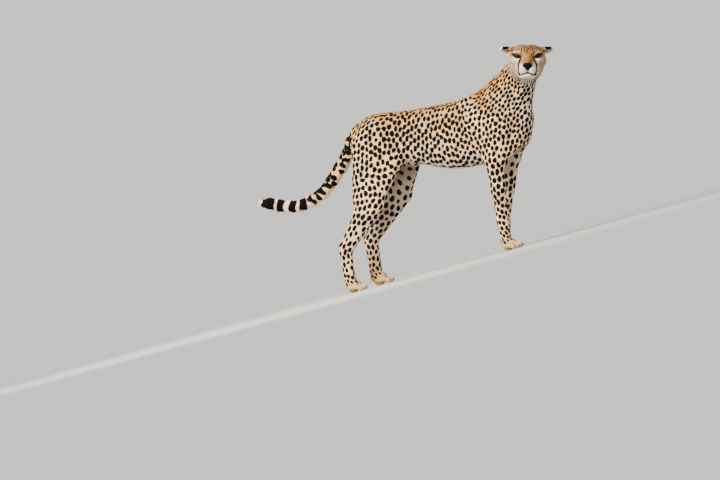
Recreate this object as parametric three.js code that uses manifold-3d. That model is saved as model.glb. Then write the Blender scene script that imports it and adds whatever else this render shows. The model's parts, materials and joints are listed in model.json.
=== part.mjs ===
// A standing cheetah at life size, as a museum model: head turned to its right, tail hanging in a low
// curve, one hind foot a step behind the other. Millimetres, +X towards the chest, +Y to the animal's
// left, +Z up, the soles on z = 0 and the origin under the middle of the bounding box.
//
// The animal is one smooth body, made of rods and balls of flesh that flow into each other. The limbs, the
// neck and the tail are skins wrapped on that body: rays leave the middle of a limb and stop at the
// surface. The trunk and the head are nets: one knot in each box of a grid that the surface crosses.
// Neighbouring nodes meet on a flat face, with a hair's gap between them.
import * as THREE from "three";
import { mergeVertices } from "three/addons/utils/BufferGeometryUtils.js";
import Module from "manifold-3d";

const wasm = await Module();
wasm.setup();

const GAP = 0.3; // between nodes that touch
const at = (x, y, z) => new THREE.Vector3(x, y, z);
const degrees = (a) => (a * Math.PI) / 180;
const mix = (a, b, t) => a + (b - a) * t;
const clamp = (t) => Math.min(1, Math.max(0, t));
const UP = at(0, 0, 1);
const LEFT = at(0, 1, 0);
const SIDES = { right: -1, left: 1 };

// ---- driving sizes, millimetres and degrees

// The trunk's outline at stations along the spine: top and bottom above the floor, and half the width.
const TRUNK = [
  { x: -345, top: 692, bottom: 668, half: 12 },
  { x: -329, top: 718, bottom: 636, half: 38 },
  { x: -293, top: 752, bottom: 606, half: 60 },
  { x: -243, top: 781, bottom: 583, half: 74 },
  { x: -183, top: 785, bottom: 554, half: 80 },
  { x: -114, top: 775, bottom: 526, half: 77 },
  { x: -34, top: 762, bottom: 498, half: 77 },
  { x: 45, top: 754, bottom: 462, half: 88 },
  { x: 115, top: 749, bottom: 437, half: 96 },
  { x: 184, top: 744, bottom: 425, half: 100 },
  { x: 254, top: 743, bottom: 420, half: 98 },
  { x: 324, top: 734, bottom: 420, half: 90 },
  { x: 394, top: 712, bottom: 426, half: 80 },
  { x: 454, top: 688, bottom: 438, half: 70 },
  { x: 510, top: 660, bottom: 463, half: 54 },
  { x: 551, top: 620, bottom: 524, half: 26 },
];
const TRUNK_SQUARENESS = 2.25; // the power of the trunk's cross-section, 2 being an ellipse

const SPINE_BEND = 9; // degrees that the forebody turns to the right
const BEND_FROM = -100;
const BEND_TO = 260;

// Joints of the legs. Feet are given where the toes spring from the foot.
const HIP = { x: -246, y: 60, z: 645 };
const FEMUR = 262;
const TIBIA = 280;
// How a hind leg's bones lean, where the fold of the flank starts, how thick the fold is there and at the
// knee, how thick the foot is at the hock and at the toes, and where the toes are.
const HIND = {
  right: {
    femur: -6.4,
    tibia: -49.5,
    fold: { x: -140, top: 44, knee: 36 },
    shaft: { hock: 32, toes: 28 },
    foot: { x: -508, y: 74, heading: -6 },
  },
  left: {
    femur: 13.6,
    tibia: -50.6,
    fold: { x: -84, top: 52, knee: 46 },
    shaft: { hock: 36, toes: 31 },
    foot: { x: -417, y: 74, heading: 5 },
  },
};
const FOOT_JOINT = 42; // height of the joint above the toes, hind
const HOCK_Y = 78;
const KNEE_Y = 88;
const THIGH_MIDDLE_Y = 58;
const SHOULDER_POINT = { x: 418, y: 78, z: 551 };
const BLADE = { x: 276, y: 34, z: 700 };
const FORE = {
  right: { elbow: 352, wrist: 308, foot: { x: 298, y: 70, heading: -14 } },
  left: { elbow: 366, wrist: 250, foot: { x: 235, y: 70, heading: 6 } },
};
const ELBOW = { y: 82, z: 416 };
const WRIST = { y: 73, z: 132 };
const FORE_FOOT_JOINT = 36;

const NECK = [
  { at: at(388, 0, 654), radius: 112 },
  { at: at(470, -3, 703), radius: 100 },
  { at: at(539, -12, 752), radius: 84 },
  { at: at(604, -28, 803), radius: 70 },
];
const NECK_FLAT = 0.76; // the neck's width over its depth
// The front of the breast and throat.
const BREAST = { foot: at(513, 2, 590), throat: at(575, -16, 738), radius: 48, throatRadius: 42 };

const TAIL = [
  { at: at(-296, 0, 716), radius: 36 },
  { at: at(-332, 0, 682), radius: 35 },
  { at: at(-372, 2, 636), radius: 33 },
  { at: at(-428, 5, 585), radius: 32 },
  { at: at(-484, 9, 536), radius: 31 },
  { at: at(-545, 14, 492), radius: 30 },
  { at: at(-608, 18, 470), radius: 30 },
  { at: at(-668, 21, 461), radius: 30 },
  { at: at(-722, 22, 469), radius: 30 },
  { at: at(-770, 23, 489), radius: 29 },
  { at: at(-812, 24, 509), radius: 27 },
  { at: at(-846, 24, 519), radius: 20 },
];
const TAIL_RINGS = 25;
const TAIL_SIDES = 16;
const TAIL_PARTS = [0.36, 0.68]; // shares of the axis where the tail's lengths part

// The head's own frame has its origin midway between the eyeballs, +X out of the face, +Z to the crown.
const HEAD = { at: at(662, -98, 850), heading: -65, roll: -15.4 };
const EYE = { x: 2, y: 45, z: 0, radius: 17.5, outward: 12, slant: 14 };
const EYE_OPENING = { width: 30, height: 15.5 };
const LID_THICKNESS = 3;
const EAR = { root: at(-52, 66, 22), length: 42, width: 23, depth: 16, wall: 4.5 };
const NOSE_PAD = { at: at(66, 0, -48), length: 14, width: 21, height: 13 };
const MOUTH = {
  line: [at(58, 0, -80), at(61, 10, -84), at(58, 19, -88), at(50, 26, -90), at(38, 31, -91), at(27, 37, -89), at(20, 42, -87)],
  steps: 12,
  inward: 7,
  outward: 10,
  height: 2.6,
};

// Where nodes part: a point on the cut and the way that the far node lies.
const NECK_ROOT = { at: at(421, 0, 679), normal: at(0.78, 0, 0.626) };
const HEAD_ROOT = { at: at(598, -26, 791), normal: at(0.5, -0.22, 0.84) };
const TAIL_ROOT = { at: at(-352, 0, 668), normal: at(-0.6, 0, -0.8) };
const THIGH_ROOT = { at: at(-226, 0, 567), normal: at(-0.385, 0, -0.923) };
const FORELEG_ROOT = { at: at(352, 80, 416), normal: at(0, 0.42, -0.91) };
for (const cut of [NECK_ROOT, HEAD_ROOT, TAIL_ROOT, THIGH_ROOT, FORELEG_ROOT]) cut.normal.normalize();

const TOE = { count: 4, spread: 18.5, radius: 13, reach: 56, longer: 8, knuckle: 22 };
const CLAW = { radius: 3.8 };
const FOREPAW_TOP = 52; // above the joint at which the toes spring
const HINDPAW_TOP = 22;

// ---- flesh: signed distances, negative inside

// A rod with round ends. flat squeezes it along side.
function rod(a, b, ra, rb, flat = 1, side = LEFT) {
  const along = b.clone().sub(a);
  const length2 = along.lengthSq();
  const q = at(0, 0, 0);
  return (p) => {
    const t = clamp(q.subVectors(p, a).dot(along) / length2);
    q.addScaledVector(along, -t);
    const across = q.dot(side);
    const rest = q.lengthSq() - across * across;
    const size = Math.sqrt(rest + (across / flat) ** 2);
    const slope = Math.sqrt(rest + (across / flat ** 2) ** 2);
    return (size - mix(ra, rb, t)) * (slope > 0 ? size / slope : 1);
  };
}

// A ball with three half sizes, turned by a quaternion.
function ball(centre, rx, ry, rz, turn = new THREE.Quaternion()) {
  const back = turn.clone().invert();
  const q = at(0, 0, 0);
  return (p) => {
    q.subVectors(p, centre).applyQuaternion(back);
    const size = Math.hypot(q.x / rx, q.y / ry, q.z / rz);
    const slope = Math.hypot(q.x / rx ** 2, q.y / ry ** 2, q.z / rz ** 2);
    return slope > 0 ? (size * (size - 1)) / slope : -Math.min(rx, ry, rz);
  };
}

// A value between the trunk's stations, on a smooth curve through them.
function trunkAt(x, key) {
  const last = TRUNK.length - 1;
  let i = TRUNK.findIndex((s) => s.x > x) - 1;
  if (i === -2) i = last - 1;
  i = Math.max(0, Math.min(last - 1, i));
  const [p, q] = [TRUNK[i], TRUNK[i + 1]];
  const slope = (j) => {
    const [a, b] = [TRUNK[Math.max(0, j - 1)], TRUNK[Math.min(last, j + 1)]];
    return (b[key] - a[key]) / (b.x - a.x);
  };
  const w = q.x - p.x;
  const t = clamp((x - p.x) / w);
  const [t2, t3] = [t * t, t ** 3];
  return (
    (2 * t3 - 3 * t2 + 1) * p[key] +
    (t3 - 2 * t2 + t) * w * slope(i) +
    (3 * t2 - 2 * t3) * q[key] +
    (t3 - t2) * w * slope(i + 1)
  );
}

// The trunk: a rounded section whose size follows the stations.
function trunk(p) {
  const [top, bottom, half] = ["top", "bottom", "half"].map((key) => trunkAt(p.x, key));
  const n = TRUNK_SQUARENESS;
  const height = (top - bottom) / 2;
  const size = (Math.abs(p.y / half) ** n + Math.abs((p.z - (top + bottom) / 2) / height) ** n) ** (1 / n);
  const inside = (size - 1) * Math.min(half, height);
  const beyond = Math.max(TRUNK[0].x - p.x, p.x - TRUNK[TRUNK.length - 1].x);
  return Math.max(inside, beyond);
}

// Two bodies of flesh flow together over a fillet of size k.
function flow(a, b, k) {
  const h = Math.max(k - Math.abs(a - b), 0) / k;
  return Math.min(a, b) - (h * h * k) / 4;
}

const along = (from, length, lean) =>
  at(from.x + length * Math.sin(degrees(lean)), from.y, from.z - length * Math.cos(degrees(lean)));

// Joints of both sides' legs, worked out from the bones' lengths and how each leans.
function legJoints(side) {
  const s = SIDES[side];
  const hip = at(HIP.x, s * HIP.y, HIP.z);
  const knee = along(hip, FEMUR, HIND[side].femur);
  const ankle = along(knee, TIBIA, HIND[side].tibia);
  knee.y = s * KNEE_Y;
  ankle.y = s * HOCK_Y;
  const { foot } = HIND[side];
  const { elbow, wrist, foot: forefoot } = FORE[side];
  return {
    hip,
    knee,
    ankle,
    toes: at(foot.x, s * foot.y, FOOT_JOINT),
    shoulder: at(SHOULDER_POINT.x, s * SHOULDER_POINT.y, SHOULDER_POINT.z),
    elbow: at(elbow, s * ELBOW.y, ELBOW.z),
    wrist: at(wrist, s * WRIST.y, WRIST.z),
    foretoes: at(forefoot.x, s * forefoot.y, FORE_FOOT_JOINT),
  };
}
const JOINTS = { right: legJoints("right"), left: legJoints("left") };
const off = (p, x, y, z) => at(p.x + x, p.y + y, p.z + z);

// Each entry is a form and the fillet by which it flows into those before it.
function hindLegFlesh(side) {
  const s = SIDES[side];
  const { hip, knee, ankle, toes } = JOINTS[side];
  const { fold, shaft } = HIND[side];
  return [
    [rod(off(hip, 34, -s * 6, 18), off(knee, -22, -s * 8, 44), 88, 56, 0.6), 40],
    [rod(at(fold.x, s * 54, 556), off(knee, -4, -s * 2, 12), fold.top, fold.knee, 0.66), 34],
    [rod(off(hip, -36, -s * 8, 12), off(knee, -84, -s * 10, 30), 50, 34, 0.72), 30],
    [rod(off(knee, -46, -s * 6, 12), off(ankle, 30, -s * 2, 34), 50, 28, 0.66), 26],
    [rod(off(knee, -4, 0, -8), off(ankle, 6, 0, 4), 42, 32, 0.76), 20],
    [rod(off(ankle, -14, 0, 22), off(ankle, 56, -s * 2, 92), 13, 12, 0.8), 16],
    [rod(off(ankle, 2, 0, 2), off(ankle, -8, 0, 12), 31, 24, 0.8), 14],
    [rod(off(ankle, 0, 0, -8), toes, shaft.hock, shaft.toes, 0.8), 14],
    [rod(off(toes, 2, 0, 2), off(toes, 26, 0, -10), 26, 24, 1.12), 10],
    [ball(at(toes.x + 8, toes.y, 12), 24, 24, 15), 8],
  ];
}

function forelegFlesh(side) {
  const s = SIDES[side];
  const { shoulder, elbow, wrist, foretoes } = JOINTS[side];
  const blade = at(BLADE.x, s * BLADE.y, BLADE.z);
  return [
    [rod(blade, off(shoulder, -28, 0, 30), 34, 52, 0.62), 44],
    [rod(shoulder, off(elbow, 8, 0, 14), 48, 40, 0.74), 34],
    [rod(off(blade, 40, s * 34, -72), off(elbow, -16, 0, 26), 62, 34, 0.56), 34],
    [rod(at(468, s * 44, 486), off(elbow, 24, -s * 4, 14), 34, 34, 0.8), 30],
    [rod(elbow, elbow.clone().lerp(wrist, 0.45), 46, 37, 0.74), 26],
    [rod(elbow.clone().lerp(wrist, 0.42), wrist, 37, 30, 0.76), 14],
    [rod(off(wrist, 0, 0, 8), off(wrist, 0, 0, -14), 31, 29, 0.8), 10],
    [rod(off(wrist, -28, 0, 4), off(wrist, -35, 0, -4), 9, 6.5), 9],
    [rod(wrist, foretoes, 28, 27, 0.84), 12],
    [rod(off(foretoes, 0, 0, 2), off(foretoes, 22, 0, -10), 26, 25, 1.16), 10],
    [ball(at(foretoes.x + 6, foretoes.y, 12), 26, 27, 15), 8],
  ];
}

// The head's forms, in its own frame; s is +1 on its left and -1 on its right.
function headFlesh() {
  const both = [-1, 1].flatMap((s) => [
    [rod(at(14, s * 19, 15), at(-8, s * 50, 12), 13, 14), 12],
    [rod(at(-6, s * 34, -34), at(42, s * 20, -56), 27, 22), 16],
    [ball(at(-14, s * 48, -26), 42, 27, 27), 24],
    [ball(at(-46, s * 46, -46), 46, 32, 40), 24],
    [rod(at(38, s * 14, -93), at(-40, s * 38, -80), 14, 24), 18],
    [rod(at(-56, s * 56, 22), at(-62, s * 70, -22), 22, 22), 18],
    [ball(at(-16, s * 57, -2), 22, 15, 20), 14],
    [ball(at(2, s * 38, -60), 34, 17, 22), 20],
    [ball(at(-48, s * 27, 16), 46, 30, 37), 12],
  ]);
  const pads = [-1, 1].map((s) => [ball(at(50, s * 19, -67), 27, 20, 21), 6]);
  return [
    [ball(at(-60, 0, -3), 66, 62, 54), 20],
    [ball(at(-16, 0, 3), 38, 54, 44), 20],
    [rod(at(12, 0, -6), at(60, 0, -40), 24, 17), 16],
    ...both,
    [rod(at(-24, 0, -70), at(-60, 0, -84), 34, 46), 24],
    ...pads,
    [ball(at(48, 0, -94), 21, 22, 12), 7],
  ];
}

const HEAD_TURN = new THREE.Quaternion()
  .setFromAxisAngle(UP, degrees(HEAD.heading))
  .multiply(new THREE.Quaternion().setFromAxisAngle(at(1, 0, 0), degrees(HEAD.roll)));
const toHead = (p) => p.clone().sub(HEAD.at).applyQuaternion(HEAD_TURN.clone().invert());
const fromHead = (p) => p.clone().applyQuaternion(HEAD_TURN).add(HEAD.at);

const tube = (stations, flat, fillet, side = LEFT) =>
  stations.slice(1).map((s, i) => [
    rod(stations[i].at, s.at, stations[i].radius, s.radius, flat, side),
    i ? fillet : 40,
  ]);

const gather = (forms) => (p) => forms.reduce((d, [form, fillet]) => flow(d, form(p), fillet), 1e4);

const headField = gather(headFlesh());
const neckFlesh = [
  ...tube(NECK, NECK_FLAT, 20),
  [rod(BREAST.foot, BREAST.throat, BREAST.radius, BREAST.throatRadius), 34],
];
const neckField = gather(neckFlesh);
const tailField = gather(tube(TAIL.slice(1), 1, 8));
const withoutTail = gather([
  [trunk, 1],
  ...neckFlesh,
  ...forelegFlesh("right"),
  ...forelegFlesh("left"),
  ...hindLegFlesh("right"),
  ...hindLegFlesh("left"),
  [rod(TAIL[0].at, TAIL[1].at, TAIL[0].radius, TAIL[1].radius), 40],
]);
const TAIL_FILLET = 20;
const trunkAndLegs = (p) => flow(withoutTail(p), tailField(p), TAIL_FILLET);
const HEAD_REACH = 260; // further than this from the face, the head has no part in the body
const THROAT = 30; // the fillet of the head on the neck
function body(p) {
  const d = trunkAndLegs(p);
  return p.distanceTo(HEAD.at) > HEAD_REACH ? d : flow(d, headField(toHead(p)), THROAT);
}

// ---- skins wrapped on the flesh

const STEP = 3;
const REACH = 420;
// Where a ray from inside the flesh comes out of it.
function exit(field, from, way) {
  const p = at(0, 0, 0);
  const depth = (t) => field(p.copy(from).addScaledVector(way, t));
  if (depth(0) >= 0) throw new Error(`a ray starts outside the flesh, at ${from.toArray().map(Math.round)}`);
  let t = 0;
  while (t < REACH && depth(t + STEP) < 0) t += STEP;
  let [lo, hi] = [t, t + STEP];
  for (let i = 0; i < 18; i++) {
    const half = (lo + hi) / 2;
    if (depth(half) < 0) lo = half;
    else hi = half;
  }
  return from.clone().addScaledVector(way, lo);
}

// A closed skin. Each station has a centre, the way ahead and a tilt: at 0 its rays lie across the way
// ahead, and at 90 they would all point along it. An end without a tilt is closed flat.
function wrap(field, stations, sides, side = LEFT) {
  const points = [];
  for (const { centre, ahead, tilt = 0 } of stations) {
    const up = ahead.clone().cross(side).normalize();
    const across = up.clone().cross(ahead).normalize();
    for (let k = 0; k < sides; k++) {
      const angle = (2 * Math.PI * k) / sides;
      const way = across.clone().multiplyScalar(Math.cos(angle)).addScaledVector(up, Math.sin(angle));
      way.multiplyScalar(Math.cos(degrees(tilt))).addScaledVector(ahead, Math.sin(degrees(tilt)));
      points.push(exit(field, centre, way));
    }
  }
  const [first, last] = [stations[0], stations[stations.length - 1]];
  const pole = ({ centre, ahead, tilt = 0 }) =>
    tilt ? exit(field, centre, ahead.clone().multiplyScalar(Math.sign(tilt))) : centre.clone();
  points.push(pole(first), pole(last));
  const [start, end] = [points.length - 2, points.length - 1];
  const faces = [];
  const rings = stations.length;
  for (let k = 0; k < sides; k++) {
    const next = (k + 1) % sides;
    faces.push(start, next, k);
    for (let i = 0; i < rings - 1; i++) {
      const [a, b, c, d] = [i * sides + k, i * sides + next, (i + 1) * sides + next, (i + 1) * sides + k];
      facetPair(field, points, [a, b, c, d], faces);
    }
    faces.push(end, (rings - 1) * sides + k, (rings - 1) * sides + next);
  }
  const geometry = new THREE.BufferGeometry().setFromPoints(points);
  return geometry.setIndex(faces);
}

// Stations evenly spaced on a path of centres, each facing between the ways given at its two ends.
function stationsOn(path, count, from, to, fromShare = 0, toShare = 1) {
  const curve = new THREE.CatmullRomCurve3(path, false, "centripetal");
  return Array.from({ length: count }, (_, i) => {
    const t = i / (count - 1);
    const ahead = from && to ? from.clone().lerp(to, t * t * (3 - 2 * t)).normalize() : null;
    const centre = curve.getPointAt(mix(fromShare, toShare, t));
    return { centre, ahead: ahead ?? curve.getTangentAt(mix(fromShare, toShare, t)) };
  });
}

const dome = (centre, ahead, tilts) => tilts.map((tilt) => ({ centre, ahead, tilt }));

const lines = (from, to, pitch) => {
  const count = Math.ceil((to - from) / pitch);
  return Array.from({ length: count + 1 }, (_, i) => mix(from, to, i / count));
};

// Moves a point along the field's slope until it lies on the surface.
const NUDGE = 0.5;
const LONGEST_MOVE = 6;
function settle(field, p) {
  for (let step = 0; step < 4; step++) {
    const value = field(p);
    const slope = at(
      field(at(p.x + NUDGE, p.y, p.z)) - value,
      field(at(p.x, p.y + NUDGE, p.z)) - value,
      field(at(p.x, p.y, p.z + NUDGE)) - value,
    ).divideScalar(NUDGE);
    const steepness = slope.lengthSq();
    if (steepness < 0.01) return p;
    p.addScaledVector(slope, -value / steepness / Math.max(1, Math.abs(value) / LONGEST_MOVE));
  }
  return p;
}

// A closed net over a form. Where two folds of it would meet along one edge, the grid is shifted a
// little and the net is laid again.
const SHIFTS = [1.3, 0.8, 0.5]; // along x, y and z
const TRIES = 16;
function net(field, grid) {
  for (let i = 0; i < TRIES; i++) {
    const shifted = grid.map((line, axis) => line.map((v) => v + i * SHIFTS[axis]));
    const { knots, faces } = knit(field, shifted);
    if (isSimple(faces)) return new THREE.BufferGeometry().setFromPoints(knots).setIndex(faces);
  }
  throw new Error("no shift of the grid gives a clean net");
}

// True if no edge is run twice in the same direction.
function isSimple(faces) {
  const edges = new Set();
  for (let i = 0; i < faces.length; i += 3) {
    for (let k = 0; k < 3; k++) edges.add(`${faces[i + k]} ${faces[i + ((k + 1) % 3)]}`);
  }
  return edges.size === faces.length;
}

// One knot in each box of the grid that the surface crosses, and a facet pair across each grid line that
// it crosses. Grid lines are given along x, y and z.
function knit(field, grid) {
  const size = grid.map((line) => line.length);
  const index = (i, j, k) => (i * size[1] + j) * size[2] + k;
  const value = new Float64Array(size[0] * size[1] * size[2]);
  const point = (i, j, k) => at(grid[0][i], grid[1][j], grid[2][k]);
  const all = (visit, trim = 0) => {
    for (let i = 0; i < size[0] - trim; i++)
      for (let j = 0; j < size[1] - trim; j++) for (let k = 0; k < size[2] - trim; k++) visit(i, j, k);
  };
  all((i, j, k) => (value[index(i, j, k)] = field(point(i, j, k))));

  const knots = [];
  const knotOf = new Map();
  all((i, j, k) => {
    const sum = at(0, 0, 0);
    let crossings = 0;
    for (let axis = 0; axis < 3; axis++) {
      for (let corner = 0; corner < 4; corner++) {
        const a = [i, j, k];
        a[(axis + 1) % 3] += corner & 1;
        a[(axis + 2) % 3] += corner >> 1;
        const b = [...a];
        b[axis]++;
        const [va, vb] = [value[index(...a)], value[index(...b)]];
        if (va < 0 === vb < 0) continue;
        sum.add(point(...a).lerp(point(...b), va / (va - vb)));
        crossings++;
      }
    }
    if (!crossings) return;
    knotOf.set(index(i, j, k), knots.length);
    knots.push(settle(field, sum.divideScalar(crossings)));
  }, 1);

  const faces = [];
  all((i, j, k) => {
    for (let axis = 0; axis < 3; axis++) {
      const a = [i, j, k];
      const b = [...a];
      b[axis]++;
      const [va, vb] = [value[index(...a)], value[index(...b)]];
      if (va < 0 === vb < 0) continue;
      const ring = [[1, 1], [0, 1], [0, 0], [1, 0]].map(([u, v]) => {
        const cell = [...a];
        cell[(axis + 1) % 3] -= u;
        cell[(axis + 2) % 3] -= v;
        return knotOf.get(index(...cell));
      });
      facetPair(field, knots, va < 0 ? ring : ring.reverse(), faces);
    }
  }, 1);
  return { knots, faces };
}

// Two facets over four corners, split along the diagonal that lies nearer the surface.
function facetPair(field, points, [a, b, c, d], faces) {
  const miss = (p, q) => Math.abs(field(points[p].clone().lerp(points[q], 0.5)));
  if (miss(a, c) <= miss(b, d)) faces.push(a, b, c, a, c, d);
  else faces.push(a, b, d, b, c, d);
}

// ---- joining and cutting

function solid(geometry) {
  const bare = geometry.clone();
  for (const name of ["normal", "uv"]) bare.deleteAttribute(name);
  const merged = mergeVertices(bare, 1e-4);
  const mesh = new wasm.Mesh({
    numProp: 3,
    vertProperties: new Float32Array(merged.attributes.position.array),
    triVerts: new Uint32Array(merged.index.array),
  });
  const whole = new wasm.Manifold(mesh);
  if (whole.volume() < 0) throw new Error("a solid is inside out");
  return whole;
}

// The largest closed body of a solid, as a geometry.
function skinOf(cut) {
  const best = cut.decompose().reduce((a, b) => (b.volume() > a.volume() ? b : a));
  const mesh = best.getMesh();
  const geometry = new THREE.BufferGeometry();
  geometry.setAttribute("position", new THREE.BufferAttribute(new Float32Array(mesh.vertProperties), 3));
  geometry.setIndex(new THREE.BufferAttribute(new Uint32Array(mesh.triVerts), 1));
  return welded(geometry);
}

// Corners closer than the weld become one, and facets that shrink to nothing are dropped.
const WELD = 0.01;
function welded(geometry) {
  const merged = mergeVertices(geometry, WELD);
  const index = merged.index.array;
  const kept = [];
  for (let i = 0; i < index.length; i += 3) {
    const [a, b, c] = index.slice(i, i + 3);
    if (a !== b && b !== c && c !== a) kept.push(a, b, c);
  }
  return merged.setIndex(kept);
}

// Everything beyond a cut, as one large block.
function beyond(cut, gap = 0) {
  const size = 3000;
  const turn = new THREE.Quaternion().setFromUnitVectors(UP, cut.normal);
  const block = new THREE.BoxGeometry(size, size, size).translate(0, 0, size / 2 + gap);
  return solid(block.applyQuaternion(turn).translate(cut.at.x, cut.at.y, cut.at.z));
}

const mirrored = (cut, side) => ({
  at: at(cut.at.x, SIDES[side] * cut.at.y, cut.at.z),
  normal: at(cut.normal.x, SIDES[side] * cut.normal.y, cut.normal.z),
});
// Flesh kept past a cut while a net is laid over it, and then cut off.
const TORSO_MARGIN = 40;
const HEAD_MARGIN = 14;
const past = (cut, p) => (p.x - cut.at.x) * cut.normal.x + (p.y - cut.at.y) * cut.normal.y + (p.z - cut.at.z) * cut.normal.z;
const keepBefore = (field, cuts, margin) => (p) => Math.max(field(p), ...cuts.map((cut) => past(cut, p) - margin));

// ---- the nodes

const TORSO_PITCH = 31;
const HEAD_PITCH = 8.6;

const COAT = { tawny: 0xd9b27c, pale: 0xe9d6b4, face: 0xd8a566, black: 0x17120f, tail: 0xd8bd92 };
const materials = {
  coat: new THREE.MeshStandardMaterial({ color: COAT.tawny, roughness: 0.9, metalness: 0 }),
  pale: new THREE.MeshStandardMaterial({ color: COAT.pale, roughness: 0.9, metalness: 0 }),
  face: new THREE.MeshStandardMaterial({ color: COAT.face, roughness: 0.9, metalness: 0 }),
  ear: new THREE.MeshStandardMaterial({ color: COAT.black, roughness: 0.9, metalness: 0 }),
  tail: new THREE.MeshStandardMaterial({ color: COAT.tail, roughness: 0.9, metalness: 0 }),
  tip: new THREE.MeshStandardMaterial({ color: COAT.pale, roughness: 0.9, metalness: 0 }),
  nose: new THREE.MeshStandardMaterial({ color: 0x14100f, roughness: 0.45, metalness: 0 }),
  eye: new THREE.MeshStandardMaterial({ color: 0x7a4a17, roughness: 0.1, metalness: 0 }),
  claw: new THREE.MeshStandardMaterial({ color: 0x2a2320, roughness: 0.4, metalness: 0 }),
};

function torso() {
  const legs = ["right", "left"].map((side) => mirrored(FORELEG_ROOT, side));
  const roots = [NECK_ROOT, THIGH_ROOT, ...legs];
  const field = keepBefore(withoutTail, roots, TORSO_MARGIN);
  const grid = [lines(-392, 612, TORSO_PITCH), lines(-153, 153, TORSO_PITCH), lines(330, 822, TORSO_PITCH)];
  let cut = solid(net(field, grid));
  for (const root of roots) cut = cut.subtract(beyond(root));
  return skinOf(cut.subtract(solid(tailLength(0, TAIL_PARTS[0], GAP))));
}

function neck() {
  const start = NECK_ROOT.at.clone().addScaledVector(NECK_ROOT.normal, GAP);
  const end = HEAD_ROOT.at.clone().addScaledVector(HEAD_ROOT.normal, -GAP);
  const path = [start, at(466, -5, 722), at(524, -14, 768), end];
  return wrap(body, stationsOn(path, 8, NECK_ROOT.normal, HEAD_ROOT.normal), 32);
}

// An almond-shaped cutter that runs out of the middle of an eye.
function almond() {
  const { width, height } = EYE_OPENING;
  const outline = new THREE.Shape();
  outline.moveTo(-width / 2, -height * 0.12);
  outline.quadraticCurveTo(-width * 0.06, height * 0.86, width / 2, height * 0.1);
  outline.quadraticCurveTo(width * 0.06, -height * 0.92, -width / 2, -height * 0.12);
  const block = new THREE.ExtrudeGeometry(outline, { depth: 40, bevelEnabled: false, curveSegments: 7 });
  // drawn in x, y and pushed along z; turned so that it looks along +X with its width across
  return block.applyMatrix4(new THREE.Matrix4().makeBasis(at(0, 1, 0), at(0, 0, 1), at(1, 0, 0)));
}

const eyeAt = (s) => at(EYE.x, s * EYE.y, EYE.z);
const lidBall = (s, grown) => eyeball(EYE.radius + LID_THICKNESS + grown).translate(...eyeAt(s).toArray());
const eyeball = (radius) => new THREE.SphereGeometry(radius, 14, 8).rotateZ(-Math.PI / 2);

function nosePad(gap = 0) {
  const { at: centre, length, width, height } = NOSE_PAD;
  const field = gather([
    [ball(centre, length + gap, width + gap, height + gap), 1],
    [ball(off(centre, 1, 0, -9), length - 2 + gap, width * 0.56 + gap, height + gap), 6],
  ]);
  const tilts = [-60, -25, 10, 35, 60];
  return solid(wrap(field, dome(centre, at(1, 0, 0), tilts), 18));
}

function nostril(s) {
  const path = new THREE.CatmullRomCurve3([at(66, s * 8, -47), at(78, s * 8, -48), at(80, s * 15, -50), at(79, s * 22, -54)]);
  const section = new THREE.Shape().absarc(0, 0, 3.6, 0, 2 * Math.PI);
  return solid(new THREE.ExtrudeGeometry(section, { steps: 5, curveSegments: 3, extrudePath: path }));
}

// The slit between the lips: a thin horseshoe that follows the line of the mouth and runs into the head.
function mouth() {
  const half = new THREE.CatmullRomCurve3(MOUTH.line).getPoints(MOUTH.steps);
  const line = [...half.slice(1).reverse().map((p) => at(p.x, -p.y, p.z)), ...half];
  const points = line.flatMap((p, i) => {
    const ahead = line[Math.min(i + 1, line.length - 1)].clone().sub(line[Math.max(i - 1, 0)]).setZ(0).normalize();
    const out = at(ahead.y, -ahead.x, 0);
    const [inner, outer] = [-MOUTH.inward, MOUTH.outward].map((reach) => p.clone().addScaledVector(out, reach));
    const [up, open] = [MOUTH.height / 2, MOUTH.height * 0.8];
    return [off(inner, 0, 0, up), off(outer, 0, 0, open), off(outer, 0, 0, -open), off(inner, 0, 0, -up)];
  });
  const faces = [0, 2, 1, 0, 3, 2];
  for (let i = 0; i < line.length - 1; i++) {
    for (let k = 0; k < 4; k++) {
      const [a, b] = [i * 4 + k, i * 4 + ((k + 1) % 4)];
      faces.push(a, b + 4, a + 4, a, b, b + 4);
    }
  }
  const end = (line.length - 1) * 4;
  faces.push(end, end + 1, end + 2, end, end + 2, end + 3);
  return solid(new THREE.BufferGeometry().setFromPoints(points).setIndex(faces));
}

// The head's skin in its own frame, grown by a gap where it serves to cut its neighbours.
function headSkin(grown = 0) {
  const lids = [-1, 1].map((s) => ball(eyeAt(s), ...Array(3).fill(EYE.radius + LID_THICKNESS - 1)));
  const socket = [-1, 1].map((s) => ball(at(24, s * 38, -1), 12, 17, 13));
  const shaped = (p) => {
    const flesh = flow(neckField(fromHead(p)), headField(p), THROAT);
    const hollow = Math.max(...socket.map((form) => -form(p)));
    const carved = -flow(-flesh, -hollow, 12);
    return lids.reduce((d, lid) => flow(d, lid(p), 5), carved) - grown;
  };
  const root = { at: toHead(HEAD_ROOT.at), normal: HEAD_ROOT.normal.clone().applyQuaternion(HEAD_TURN.clone().invert()).negate() };
  const field = keepBefore(shaped, [root], HEAD_MARGIN);
  const grid = [
    [...lines(-210, -28, HEAD_PITCH * 1.9), ...lines(-28, 95, HEAD_PITCH).slice(1)],
    [...lines(-140, -57, HEAD_PITCH * 1.5), ...lines(-57, 57, HEAD_PITCH).slice(1), ...lines(57, 140, HEAD_PITCH * 1.5).slice(1)],
    [...lines(-220, -108, HEAD_PITCH * 1.5), ...lines(-108, 24, HEAD_PITCH).slice(1), ...lines(24, 76, HEAD_PITCH * 1.5).slice(1)],
  ];
  const skin = [-1, 1].reduce((a, side) => a.add(solid(lidBall(side, grown))), solid(net(field, grid)));
  return { skin, root };
}

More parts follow.
